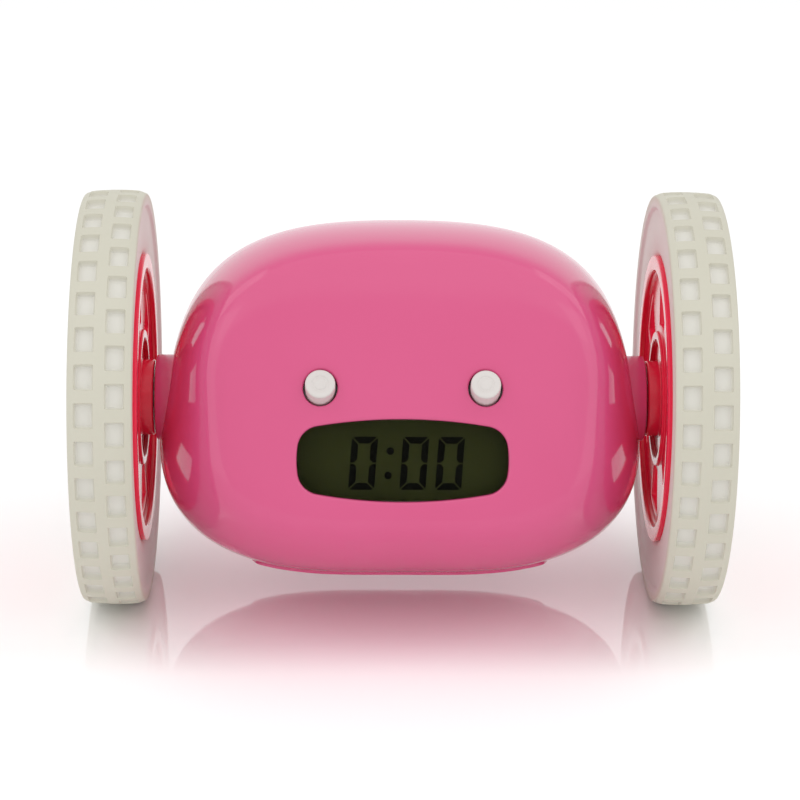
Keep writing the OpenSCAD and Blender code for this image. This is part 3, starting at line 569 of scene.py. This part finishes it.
# Each digit is a nought, so it has every stroke but the middle one.
def displayMarks():
    g = digitShape
    low, high = g["face"], g["face"] + g["thick"]
    slant = math.tan(math.radians(g["slant"]))
    marks = []
    for start in g["starts"]:
        for kind in ("top", "bottom", "upperLeft", "lowerLeft", "upperRight", "lowerRight"):
            corners = strokeOutline(kind)
            shape = rounded(corners, [g["corner"]] * len(corners), 2)
            marks.append(flatShape([(start + x + y * slant, g["base"] + y) for x, y in shape], low, high))
    for x, u in g["dots"]:
        marks.append(flatShape(circleOutline(x, u, g["dot"], 32)(0), low, high))
    return joined("displayDigits", marks)


digits = newPiece("displayDigits", displayMarks())

print("buttons")
buttonShape = {
    "radius": 3.1, "top": 32.25, "edge": 0.42, "edgeTurns": (0, 18, 36, 54, 72, 90), "middle": 0.4,
    "ring": (1.25, 1.75), "cut": 0.14, "cutWall": 0.1, "cutLip": 0.12, "lipDrop": 0.05,
    "flange": 3.85, "ledge": 26, "flangeLow": 24.9, "stem": 1.4, "stemEnd": 19.4,
}


# Lower part of a round cap as (radius, height) points: rounded edge, side, flange and stem.
def capSide(b):
    r, top, e = b["radius"], b["top"], b["edge"]
    edge = [(r - e * (1 - math.sin(t)), top - e * (1 - math.cos(t))) for t in np.radians(b["edgeTurns"])]
    return edge + [(b["radius"], b["ledge"]), (b["flange"], b["ledge"]), (b["flange"], b["flangeLow"]),
                   (b["stem"], b["flangeLow"]), (b["stem"], b["stemEnd"])]


def roundButton(name, side):
    b = buttonShape
    inner, outer = b["ring"]
    top, lip, wall = b["top"], b["cutLip"], b["cutWall"]
    line = [(b["middle"], top), (inner - lip, top), (inner, top - b["lipDrop"]),
            (inner + wall, top - b["cut"]), (outer - wall, top - b["cut"]),
            (outer, top - b["lipDrop"]), (outer + lip, top),
            (b["radius"] - b["edge"] - wall, top)]
    x = side * frontParts["buttonX"]
    return newPiece(name, smooth(turnedPiece(name, "button", x, 0, line + capSide(b)), angle=28))


hourCap = roundButton("hourCap", -1)
minuteCap = roundButton("minuteCap", 1)

keyShape = {
    "radius": 2.8, "top": 37.4, "edge": 0.4, "edgeTurns": (0, 22, 45, 67, 90),
    "dish": 0.25, "dishLine": ((0.3, 1), (0.9, 0.9), (1.5, 0.6), (2.1, 0.15)),  # radius, share of the depth
    "flange": 4.2, "ledge": 31.4, "flangeLow": 30.2, "stem": 1.4, "stemEnd": 29.95,
}


def roundKey(name, side):
    b, r = keyShape, rearParts
    line = [(radius, b["top"] - b["dish"] * share) for radius, share in b["dishLine"]] + capSide(b)
    return newPiece(name, smooth(turnedPiece(name, "back", side * r["keyX"], -r["keyZ"], line), angle=28))


timeCap = roundKey("timeCap", -1)
alarmCap = roundKey("alarmCap", 1)

snoozeShape = {"half": 13, "rise": 4.5, "proud": 0.55, "edge": 0.9, "seat": 32.6, "base": 31.4, "flange": 1.2}
snoozeOutline = slotOutline(snoozeShape["half"], snoozeShape["rise"])
snoozeCap = newPiece("snoozeCap", fittedPlug(
    "snoozeCap", "snooze", snoozeOutline, snoozeShape["proud"], snoozeShape))

print("tyres")
tyreShape = {  # the pockets' rounded walls are a smooth step down from the tread
    "inner": 54.4, "width": 13, "radius": 44.5, "seat": 30.9, "beadHalf": 2,
    "pockets": 36, "depth": 1.3, "halfLong": 2.62, "halfWide": 2.0, "rowOffset": 3.1, "corner": 0.35,
    "wall": 0.42, "wallSteps": (-0.12, 0.0, 0.1, 0.21, 0.32, 0.44),  # from the land into the pocket
    "crownDrop": 0.25, "shoulderDrop": 0.75, "flatShare": 0.62, "shoulder": 0.62, "shoulderStart": 0.95,
    # the last value of the next line sets where the paler side wall begins: partly clean rubber, partly a
    # painted lift against its shade
    "band": 3.3, "bandFoot": 3.75, "sideSunk": 0.7, "cleanAndLitEdge": 0.6,
}
tyreMiddle = tyreShape["inner"] + tyreShape["width"] / 2


# Radius of the tread, falling off towards its shoulders.
def crown(x):
    t = tyreShape
    k = abs(x - tyreMiddle) / (t["width"] / 2)
    flat = t["flatShare"]
    return t["radius"] - t["crownDrop"] * k ** 2 - t["shoulderDrop"] * max(0, (k - flat) / (1 - flat)) ** 2


# How deep each point of a ring lies in a pocket, 0 to 1; the outer row is half a pocket further round.
def pocketDepth(x, angles):
    t = tyreShape
    pitch = 2 * math.pi / t["pockets"]
    outerRow = x >= tyreMiddle
    centre = tyreMiddle + (t["rowOffset"] if outerRow else -t["rowOffset"])
    around = (angles - (pitch / 2 if outerRow else 0) + pitch / 2) % pitch - pitch / 2
    px = abs(x - centre) - t["halfWide"] + t["corner"]
    py = np.abs(around) * t["radius"] - t["halfLong"] + t["corner"]
    out = np.hypot(max(px, 0), np.maximum(py, 0)) + np.minimum(np.maximum(px, py), 0) - t["corner"]
    k = np.clip(-out / t["wall"], 0, 1)
    return k * k * (3 - 2 * k)


# Cross-section of the tyre as (x, radius, is tread) points: tread, shoulder, side wall, seat and back up.
def tyreSection():
    t = tyreShape
    mid, far, e = tyreMiddle, t["inner"] + t["width"], t["shoulder"]
    edges = []
    for centre in (-t["rowOffset"], t["rowOffset"]):
        edges += [mid + centre - t["halfWide"] + k for k in t["wallSteps"]]
        edges += [mid + centre + t["halfWide"] - k for k in t["wallSteps"]]
        edges += [mid + centre]
    ends = [t["inner"] + e, t["inner"] + t["shoulderStart"], far - e, far - t["shoulderStart"]]
    line = [(x, crown(x), True) for x in sorted(edges + [mid] + ends)]
    shoulder = crown(far - e)
    turned = [(e * (1 - math.sin(a)), shoulder - e * (1 - math.cos(a))) for a in np.radians((25, 50, 75, 90))]
    line += [(far - inward, radius, False) for inward, radius in turned]
    band, foot, sunk = t["radius"] - t["band"], t["radius"] - t["bandFoot"], far - t["sideSunk"]
    # Side wall, from the edge of the band down to the rim seat
    outer = [(far, band + 0.35), (far - 0.08, band + 0.1), (far - 0.3, band - 0.12), (sunk + 0.08, foot),
             (sunk, foot - 0.25), (sunk + 0.12, 37.5), (sunk + 0.1, 34.5),
             (sunk - 0.05, 32.2), (sunk - 0.2, 31.3), (sunk - 0.55, t["seat"])]
    line += [(x, radius, False) for x, radius in outer]
    line += [(mid + t["beadHalf"], t["seat"], False), (mid - t["beadHalf"], t["seat"], False)]
    line += [(2 * mid - x, radius, False) for x, radius in outer[::-1]]
    return line + [(t["inner"] + inward, radius, False) for inward, radius in turned[::-1]]


# Angles of the tyre's points, close together at the ends of the pockets of both rows.
def tyreAngles():
    t = tyreShape
    pitch = 2 * math.pi / t["pockets"]
    arcs = []
    for shift in (0, pitch / 2):
        for k in t["wallSteps"]:
            reach = (t["halfLong"] - k) / t["radius"]
            arcs += [shift + reach, shift - reach]
        arcs.append(shift)
    arcs = sorted(set(round(a % pitch, 6) for a in arcs))
    return np.array([i * pitch + a for i in range(t["pockets"]) for a in arcs])


def tyreMesh(name, side):
    t = tyreShape
    angles = tyreAngles()
    count = len(angles)
    cleanAndLitTop = t["radius"] - t["band"] + t["cleanAndLitEdge"]
    rings, cleanAndLitShares = [], []
    for x, r, tread in tyreSection():
        deep = pocketDepth(x, angles) if tread else np.zeros(count)
        radius = r - t["depth"] * deep
        level = np.full(count, side * x)
        rings.append(np.stack([level, radius * np.sin(angles), radius * np.cos(angles)], 1))
        # Pockets and the side wall below the band get a paler share: partly clean rubber, partly a painted
        # lift against their shade.
        cleanAndLitShares.append(np.ones(count) if r < cleanAndLitTop else deep)
    mesh = ringMesh(name, rings, closed=True)
    layer = mesh.attributes.new("cleanAndLitShare", "FLOAT", "POINT")
    layer.data.foreach_set("value", np.concatenate(cleanAndLitShares))
    return smooth(mesh, angle=40)


tyres = {s: newPiece(n + "Tread", tyreMesh(n + "Tread", s)) for s, n in ((-1, "left"), (1, "right"))}

print("rims")
rimShape = {
    "out": 66.7, "bead": 32.2, "beadHalf": 1.5, "inside": 27.7, "web": 55.8, "webThick": 2.2,
    "hub": 8.1, "hubFace": 52.8, "hubEnd": 63, "bore": 2.0, "plug": 3.2, "plugEnd": 60,
    "lip": (12.8, 14.5), "lipRise": 0.8,
    "spokes": 6, "openIn": 16, "openOut": 25.5, "openHalf": 13, "openCorner": 1.4,
    "openEdge": 0.35, "flare": 0.3, "flareStep": 0.12, "flareEnd": 1.0,
}


# Cross-section of the rim as (x, radius, rounding) corners, from the bore at the hub's inner face.
def rimSection():
    r = rimShape
    start, seat = tyreShape["inner"], tyreShape["seat"]
    web, back = r["web"], r["web"] + r["webThick"]
    lipIn, lipOut = r["lip"]
    low, high = tyreMiddle - r["beadHalf"], tyreMiddle + r["beadHalf"]
    return [(r["hubFace"], r["bore"], 0), (r["hubFace"], r["hub"], 0.4), (web, r["hub"], 0.5),
            (web, lipIn, 0.25), (web - r["lipRise"], lipIn, 0.25),
            (web - r["lipRise"], lipOut, 0.25), (web, lipOut, 0.25),
            (web, r["inside"], 0.5), (start, r["inside"], 0.45), (start, seat, 0.3),
            (low, seat, 0), (low, r["bead"], 0.2), (high, r["bead"], 0.2),
            (high, seat, 0), (r["out"], seat, 0.3), (r["out"], r["inside"], 0.6),
            (back, r["inside"], 1.2), (back, r["hub"], 1.0), (r["hubEnd"], r["hub"], 0.3),
            (r["hubEnd"], r["plug"], 0.1), (r["plugEnd"], r["plug"], 0), (r["plugEnd"], r["bore"], 0)]


# Outline of the opening between two spokes, wider by grow, turned about the axle and set at x.
def spokeOpening(grow, x, turn):
    r = rimShape
    inner, outer = r["openIn"] - grow, r["openOut"] + grow
    half = math.radians(r["openHalf"])
    arc = [(outer, a) for a in np.linspace(-1, 1, 9)] + [(inner, a) for a in np.linspace(1, -1, 9)]
    flat = []
    for radius, a in arc:
        angle = a * (half + grow / radius)
        flat.append((radius * math.sin(angle), radius * math.cos(angle)))
    corner = r["openCorner"] + grow
    across, along = rounded(flat, [corner if i in (0, 8, 9, 17) else 0 for i in range(18)], 5).T
    y = across * math.cos(turn) - along * math.sin(turn)
    z = across * math.sin(turn) + along * math.cos(turn)
    return np.stack([np.full(len(y), x), y, z], 1)


def rimMesh(name, side):
    r = rimShape
    corners = rimSection()
    outline = rounded([k[:2] for k in corners], [k[2] for k in corners], 5)
    web, back, e = r["web"], r["web"] + r["webThick"], r["openEdge"]
    wide, step, end = e + r["flare"], r["flareStep"], r["flareEnd"]
    k = e * 0.35  # middle of the rounded edge
    line = [(wide, web - end), (wide, web - step), (k, web + k), (0, web + e),
            (0, back - e), (k, back - k), (wide, back + step), (wide, back + end)]
    tools = []
    for i in range(r["spokes"]):
        turn = 2 * math.pi * i / r["spokes"]
        rings = [spokeOpening(grow, side * x, turn) for grow, x in line]
        tools.append(ringMesh("tool", rings, rings[0].mean(0), rings[-1].mean(0)))
    return smooth(carved(axleLathe(name, outline, side, 144), tools), angle=32)


rims = {s: newPiece(n + "WheelRim", rimMesh(n + "WheelRim", s)) for s, n in ((-1, "left"), (1, "right"))}

print("finishes")


# A moulded, cast or rolled finish: two close tones, a rough spread and a fine bump, all at real sizes in mm.
# The noise lies mostly between 0.3 and 0.7, so the ranges start and end there.
def surfaceFinish(name, look):
    material = bpy.data.materials.new(name)
    material.use_nodes = True
    tree = material.node_tree
    shader = tree.nodes["Principled BSDF"]
    where = addNode(tree, "ShaderNodeTexCoord").outputs["Object"]
    tone = addNode(tree, "ShaderNodeTexNoise", None, {
        "Scale": 1 / (look["toneMm"] * mm), "Detail": 3.0, "Roughness": 0.55}, {"Vector": where})
    blend = addNode(tree, "ShaderNodeMapRange", None, {"From Min": 0.35, "From Max": 0.65}, {
        "Value": tone.outputs["Fac"]})
    colour = addNode(tree, "ShaderNodeMix", {"data_type": "RGBA"}, {
        6: hexLinear(look["colour"]), 7: hexLinear(look["otherColour"])}, {0: blend.outputs["Result"]})
    tree.links.new(colour.outputs[2], shader.inputs["Base Color"])
    low, high = look["roughness"]
    worn = addNode(tree, "ShaderNodeTexNoise", None, {
        "Scale": 1 / (look["roughMm"] * mm), "Detail": 4.0}, {"Vector": where})
    spread = addNode(tree, "ShaderNodeMapRange", None, {
        "From Min": 0.3, "From Max": 0.7, "To Min": low, "To Max": high}, {"Value": worn.outputs["Fac"]})
    tree.links.new(spread.outputs["Result"], shader.inputs["Roughness"])
    grain = addNode(tree, "ShaderNodeTexNoise", None, {
        "Scale": 1 / (look["grainMm"] * mm), "Detail": 2.0}, {"Vector": where})
    bump = addNode(tree, "ShaderNodeBump", None, {
        "Strength": look["grain"], "Distance": look["grainDepth"] * mm}, {"Height": grain.outputs["Fac"]})
    tree.links.new(bump.outputs["Normal"], shader.inputs["Normal"])
    for key, value in look["set"].items():
        shader.inputs[key].default_value = value
    return material


looks = {
    # Polished ABS, injection moulded: deep even pink, sharp-edged soft gloss, faint orange peel
    "polishedPinkAbs": {
        "colour": "E2598D", "otherColour": "E0568A", "toneMm": 40, "roughness": (0.08, 0.12),
        "roughMm": 9, "grain": 0.2, "grainMm": 1.4, "grainDepth": 0.008, "set": {"IOR": 1.53}},
    # The same plastic as the case, painted a shade redder: the extra red is painted bounce light for the
    # wheel's hollow
    "bounceRedPinkAbs": {
        "colour": "F2284C", "otherColour": "F02649", "toneMm": 40, "roughness": (0.1, 0.14),
        "roughMm": 9, "grain": 0.2, "grainMm": 1.4, "grainDepth": 0.008,
        "set": {"IOR": 1.53, "Specular IOR Level": 0.3}},
    # Thermoplastic rubber: warm white, dull, slightly powdery
    "softWhiteRubber": {
        # the third colour is the paler rubber of pockets and side walls, partly clean rubber, partly a
        # painted lift against their shade
        "colour": "D8D5C5", "otherColour": "D5D2C1", "cleanAndLitColour": "E6E4DC", "toneMm": 25,
        "roughness": (0.5, 0.6), "roughMm": 6, "grain": 0.4, "grainMm": 0.35, "grainDepth": 0.02,
        "set": {"IOR": 1.45}},
    # White ABS: fine satin from the mould
    "satinWhiteAbs": {
        "colour": "E2DDD9", "otherColour": "DFD9D5", "toneMm": 8, "roughness": (0.28, 0.36),
        "roughMm": 2, "grain": 0.3, "grainMm": 0.25, "grainDepth": 0.01, "set": {"IOR": 1.53}},
    # Acetal gears: milky white, waxy
    "waxyAcetal": {
        "colour": "E6E4DC", "otherColour": "DEDBD0", "toneMm": 5, "roughness": (0.32, 0.42),
        "roughMm": 2, "grain": 0.2, "grainMm": 0.3, "grainDepth": 0.01, "set": {"IOR": 1.48}},
    # Grey high-impact styrene, unpainted inside parts
    "greyStyrene": {
        "colour": "8C8F93", "otherColour": "83868A", "toneMm": 7, "roughness": (0.4, 0.55),
        "roughMm": 2, "grain": 0.4, "grainMm": 0.4, "grainDepth": 0.02, "set": {"IOR": 1.59}},
    # Phenolic resin of the switch bodies: near black, dull
    "blackPhenolic": {
        "colour": "1B1B1D", "otherColour": "232325", "toneMm": 4, "roughness": (0.4, 0.55),
        "roughMm": 1.5, "grain": 0.3, "grainMm": 0.3, "grainDepth": 0.02, "set": {"IOR": 1.6}},
    # Green solder resist over glass-epoxy: glossy, slightly uneven
    "greenResist": {
        "colour": "1C5B31", "otherColour": "23683A", "toneMm": 3, "roughness": (0.25, 0.38),
        "roughMm": 1.2, "grain": 0.35, "grainMm": 0.6, "grainDepth": 0.03, "set": {"IOR": 1.55}},
    # Nickel-plated steel: bright, with fine rolling marks
    "nickelPlate": {
        "colour": "C9C8C4", "otherColour": "BFBEBA", "toneMm": 4, "roughness": (0.22, 0.34),
        "roughMm": 0.8, "grain": 0.3, "grainMm": 0.25, "grainDepth": 0.01, "set": {"Metallic": 1.0}},
    # Turned brass: warm, with fine turning marks
    "turnedBrass": {
        "colour": "D9B56A", "otherColour": "CDA85C", "toneMm": 2, "roughness": (0.25, 0.35),
        "roughMm": 0.6, "grain": 0.3, "grainMm": 0.2, "grainDepth": 0.01, "set": {"Metallic": 1.0}},
    # Conductive rubber strip: dull flesh pink
    "layeredRubber": {
        "colour": "C98F8C", "otherColour": "B97F7C", "toneMm": 0.8, "roughness": (0.6, 0.75),
        "roughMm": 1, "grain": 0.4, "grainMm": 0.2, "grainDepth": 0.02, "set": {"IOR": 1.45}},
    # Shrink film round a plain cell: dark, smooth, a little glossy
    "sleeveFilm": {
        "colour": "3B3E44", "otherColour": "34373D", "toneMm": 12, "roughness": (0.2, 0.3),
        "roughMm": 4, "grain": 0.2, "grainMm": 1.0, "grainDepth": 0.01, "set": {"IOR": 1.5}},
    # Ink-dark liquid crystal in its driven state
    "drivenCrystal": {
        "colour": "07080A", "otherColour": "0A0B0C", "toneMm": 2, "roughness": (0.35, 0.45),
        "roughMm": 1, "grain": 0.1, "grainMm": 0.2, "grainDepth": 0.005,
        "set": {"IOR": 1.5, "Specular IOR Level": 0.1}},
    # Polarising film over a reflector: dark olive, faintly mottled
    "olivePolariser": {
        "colour": "585D39", "otherColour": "545835", "toneMm": 9, "roughness": (0.3, 0.4),
        "roughMm": 1.5, "grain": 0.2, "grainMm": 0.15, "grainDepth": 0.005,
        "set": {"IOR": 1.5, "Specular IOR Level": 0.1}},
}
finishes = {name: surfaceFinish(name, look) for name, look in looks.items()}

# Smoked acrylic with an anti-glare coat: dark, hardly mirrors, and clear enough to read the display through
acrylic = {
    "colour": "BDBEB0", "hazeMm": 12, "roughness": (0.0, 0.01),
    "IOR": 1.08,  # low, because the coat takes most of the mirror image away
}


def smokedFinish():
    material = bpy.data.materials.new("smokedAcrylic")
    material.use_nodes = True
    tree = material.node_tree
    shader = tree.nodes["Principled BSDF"]
    where = addNode(tree, "ShaderNodeTexCoord").outputs["Object"]
    haze = addNode(tree, "ShaderNodeTexNoise", None, {
        "Scale": 1 / (acrylic["hazeMm"] * mm)}, {"Vector": where})
    low, high = acrylic["roughness"]
    spread = addNode(tree, "ShaderNodeMapRange", None, {"To Min": low, "To Max": high}, {
        "Value": haze.outputs["Fac"]})
    tree.links.new(spread.outputs["Result"], shader.inputs["Roughness"])
    shader.inputs["Base Color"].default_value = hexLinear(acrylic["colour"])
    shader.inputs["Transmission Weight"].default_value = 1.0
    shader.inputs["IOR"].default_value = acrylic["IOR"]
    return material


finishes["smokedAcrylic"] = smokedFinish()


# The rubber is paler down in the tread pockets and on the side walls: partly cleaner rubber where nothing
# rubs it, partly a painted lift that cancels the shade falling there.
def cleanAndLitRubber():
    tree = finishes["softWhiteRubber"].node_tree
    shader = tree.nodes["Principled BSDF"]
    plain = shader.inputs["Base Color"].links[0].from_socket
    share = addNode(tree, "ShaderNodeAttribute", {"attribute_name": "cleanAndLitShare"})
    cleanAndLitMix = addNode(tree, "ShaderNodeMix", {"data_type": "RGBA"}, {
        7: hexLinear(looks["softWhiteRubber"]["cleanAndLitColour"])}, {0: share.outputs["Fac"], 6: plain})
    tree.links.new(cleanAndLitMix.outputs[2], shader.inputs["Base Color"])


cleanAndLitRubber()


def dress(piece, finish):
    piece.data.materials.clear()
    piece.data.materials.append(finishes[finish])


softEdge = {"weld": 0.002, "segments": 2, "angle": 40}
softWidths = {"left_hub_cap": 0.3, "right_hub_cap": 0.3, "run_switch": 0.25}


# Softens the sharp edges of a CAD part that stays as it is.
def soften(node, width):
    piece = nodes[node]
    weld = piece.modifiers.new("weld", "WELD")
    weld.merge_threshold = softEdge["weld"] * mm
    bevel = piece.modifiers.new("softEdge", "BEVEL")
    bevel.width = width * mm
    bevel.segments = softEdge["segments"]
    bevel.limit_method = "ANGLE"
    bevel.angle_limit = math.radians(softEdge["angle"])


# Each made piece: its body, finish and record slot, and the CAD nodes that it stands in for.
madePieces = [
    (frontCase, "case", "polishedPinkAbs", "case_plastic", ["front_shell"]),
    (collarPiece, "case", "polishedPinkAbs", "case_plastic", ["front_shell"]),
    (rearCase, "case", "polishedPinkAbs", "case_plastic", ["rear_shell"]),
    (posts, "case", "polishedPinkAbs", "case_plastic", ["rear_shell"]),
    (batteryDoor, "battery_door", "polishedPinkAbs", "case_plastic", ["battery_door"]),
    (doorHooks, "battery_door", "polishedPinkAbs", "case_plastic", ["battery_door"]),
    (lens, "case", "smokedAcrylic", "dark_lens", ["lcd_lens"]),
    (digits, "case", "drivenCrystal", "display_glass", []),
    (hourCap, "hour_button", "satinWhiteAbs", "white_plastic", ["hour_button"]),
    (minuteCap, "minute_button", "satinWhiteAbs", "white_plastic", ["minute_button"]),
    (timeCap, "time_key", "satinWhiteAbs", "white_plastic", ["time_key"]),
    (alarmCap, "alarm_key", "satinWhiteAbs", "white_plastic", ["alarm_key"]),
    (snoozeCap, "snooze_button", "satinWhiteAbs", "white_plastic", ["snooze_button"]),
    (tyres[-1], "left_wheel", "softWhiteRubber", "tyre_rubber", ["left_tyre"]),
    (tyres[1], "right_wheel", "softWhiteRubber", "tyre_rubber", ["right_tyre"]),
    # The rims take the redder copy of the case plastic, its extra red painted bounce light
    (rims[-1], "left_wheel", "bounceRedPinkAbs", "case_plastic", ["left_rim"]),
    (rims[1], "right_wheel", "bounceRedPinkAbs", "case_plastic", ["right_rim"]),
]
for piece, body, finish, slotName, stands in madePieces:
    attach(piece, body)
    dress(piece, finish)
    if stands:
        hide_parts(*stands)

slotFinish = {
    "case_plastic": "polishedPinkAbs", "tyre_rubber": "softWhiteRubber", "white_plastic": "satinWhiteAbs",
    "grey_plastic": "greyStyrene", "dark_lens": "smokedAcrylic", "display_glass": "olivePolariser",
    "strip_rubber": "layeredRubber", "board": "greenResist", "black_plastic": "blackPhenolic",
    "steel": "nickelPlate", "motor_can": "nickelPlate", "brass": "turnedBrass", "cell_sleeve": "sleeveFilm",
}
# Hub caps take the same redder copy of the case plastic, its extra red painted bounce light
endingFinish = {"_gear": "waxyAcetal", "_bush": "waxyAcetal", "_hub_cap": "bounceRedPinkAbs"}
slotOf = {row["node"]: row["material_slot"] for row in frame["record"]["subparts"]}
for node, piece in nodes.items():
    finish = slotFinish[slotOf[node]]
    for ending, other in endingFinish.items():
        if node.endswith(ending):
            finish = other
    dress(piece, finish)
for node, width in softWidths.items():
    soften(node, width)

print("studio")
studio = {
    "floorColour": "FAFAFA", "floorSize": 8, "floorRoughness": 0.03, "floorIor": 1.9,
    "mirrorFade": (-0.045, -0.012),  # Y in metres, between which the floor's mirror image comes up
    "seenColour": 1.22, "world": 0.7, "seenWorld": 1.0,  # what the camera sees is lifted to white
}


# 1 for a ray that shows the background: straight from the camera, mirrored or through glass.
def seenDirectly(tree):
    path = addNode(tree, "ShaderNodeLightPath")
    first = addNode(tree, "ShaderNodeMath", {"operation": "MAXIMUM"}, None, {
        0: path.outputs["Is Camera Ray"], 1: path.outputs["Is Transmission Ray"]})
    both = addNode(tree, "ShaderNodeMath", {"operation": "MAXIMUM"}, None, {
        0: first.outputs[0], 1: path.outputs["Is Glossy Ray"]})
    return both.outputs[0]


# White acrylic sheet: even, glossy, and mirroring what stands on it close by
def floorFinish():
    material = bpy.data.materials.new("glossyWhiteSheet")
    material.use_nodes = True
    tree = material.node_tree
    shader = tree.nodes["Principled BSDF"]
    shader.inputs["Roughness"].default_value = studio["floorRoughness"]
    shader.inputs["IOR"].default_value = studio["floorIor"]
    where = addNode(tree, "ShaderNodeSeparateXYZ", None, None, {
        "Vector": addNode(tree, "ShaderNodeTexCoord").outputs["Object"]})
    start, end = studio["mirrorFade"]
    fade = addNode(tree, "ShaderNodeMapRange", {"interpolation_type": "SMOOTHSTEP"}, {
        "From Min": start, "From Max": end, "To Min": 0.0, "To Max": 1.0}, {"Value": where.outputs["Y"]})
    tree.links.new(fade.outputs["Result"], shader.inputs["Specular IOR Level"])
    white = addNode(tree, "ShaderNodeMix", {"data_type": "RGBA"}, {
        6: hexLinear(studio["floorColour"]), 7: (studio["seenColour"],) * 3 + (1,)}, {0: seenDirectly(tree)})
    tree.links.new(white.outputs[2], shader.inputs["Base Color"])
    return material


half = studio["floorSize"] / 2
corners = [(-half, -half, 0), (half, -half, 0), (half, half, 0), (-half, half, 0)]
floorMesh = bpy.data.meshes.new("floor")
floorMesh.from_pydata(corners, [], [(0, 1, 2, 3)])
floor = newPiece("floor", floorMesh)
floor.data.materials.append(floorFinish())

world = bpy.data.worlds.new("studio")
bpy.context.scene.world = world
world.use_nodes = True
background = world.node_tree.nodes["Background"]
background.inputs["Color"].default_value = (1, 1, 1, 1)
bright = addNode(world.node_tree, "ShaderNodeMapRange", None, {
    "To Min": studio["world"], "To Max": studio["seenWorld"]}, {"Value": seenDirectly(world.node_tree)})
world.node_tree.links.new(bright.outputs["Result"], background.inputs["Strength"])

lamps = {  # place and aim in metres, size in metres, power in watts
    "topBox": ((0, -0.5, 1.05), (0, 0, 0.04), (1.8, 1.2), 2.4),
    "leftBox": ((-0.85, -0.8, 0.4), (0, 0, 0.05), (0.6, 1.0), 0.9),
    "rightBox": ((0.85, -0.8, 0.4), (0, 0, 0.05), (0.6, 1.0), 0.9),
    "leftHigh": ((-0.75, 0.0, 0.85), (0, 0, 0.06), (0.6, 0.5), 0.8),
    "rightHigh": ((0.75, 0.0, 0.85), (0, 0, 0.06), (0.6, 0.5), 0.8),
}
for name, (place, aim, size, power) in lamps.items():
    data = bpy.data.lights.new(name, "AREA")
    data.shape = "RECTANGLE"
    data.size, data.size_y = size
    data.energy = power
    lamp = bpy.data.objects.new(name, data)
    lamp.location = place
    lamp.rotation_euler = (Vector(aim) - Vector(place)).to_track_quat("-Z", "Y").to_euler()
    lamp.visible_camera = False
    bpy.context.scene.collection.objects.link(lamp)

# Camera fitted to the photo: place in mm, turns in degrees, lens and sensor in mm, clipping in metres.
view = {
    "place": (-9.56, -551.27, 245.84), "pitch": 20.111, "yaw": -0.984, "roll": 0.518,
    "lens": 122.37, "sensor": 36, "clip": (0.05, 20),
}
cameraData = bpy.data.cameras.new("camera")
cameraData.lens = view["lens"]
cameraData.sensor_width = view["sensor"]
cameraData.clip_start, cameraData.clip_end = view["clip"]
camera = bpy.data.objects.new("camera", cameraData)
camera.matrix_world = (Matrix.Translation(Vector(view["place"]) * mm)
                       @ Matrix.Rotation(math.radians(view["yaw"]), 4, "Z")
                       @ Matrix.Rotation(math.radians(90 - view["pitch"]), 4, "X")
                       @ Matrix.Rotation(math.radians(view["roll"]), 4, "Z"))
bpy.context.scene.collection.objects.link(camera)
bpy.context.scene.camera = camera
bpy.context.scene.view_settings.view_transform = "Standard"
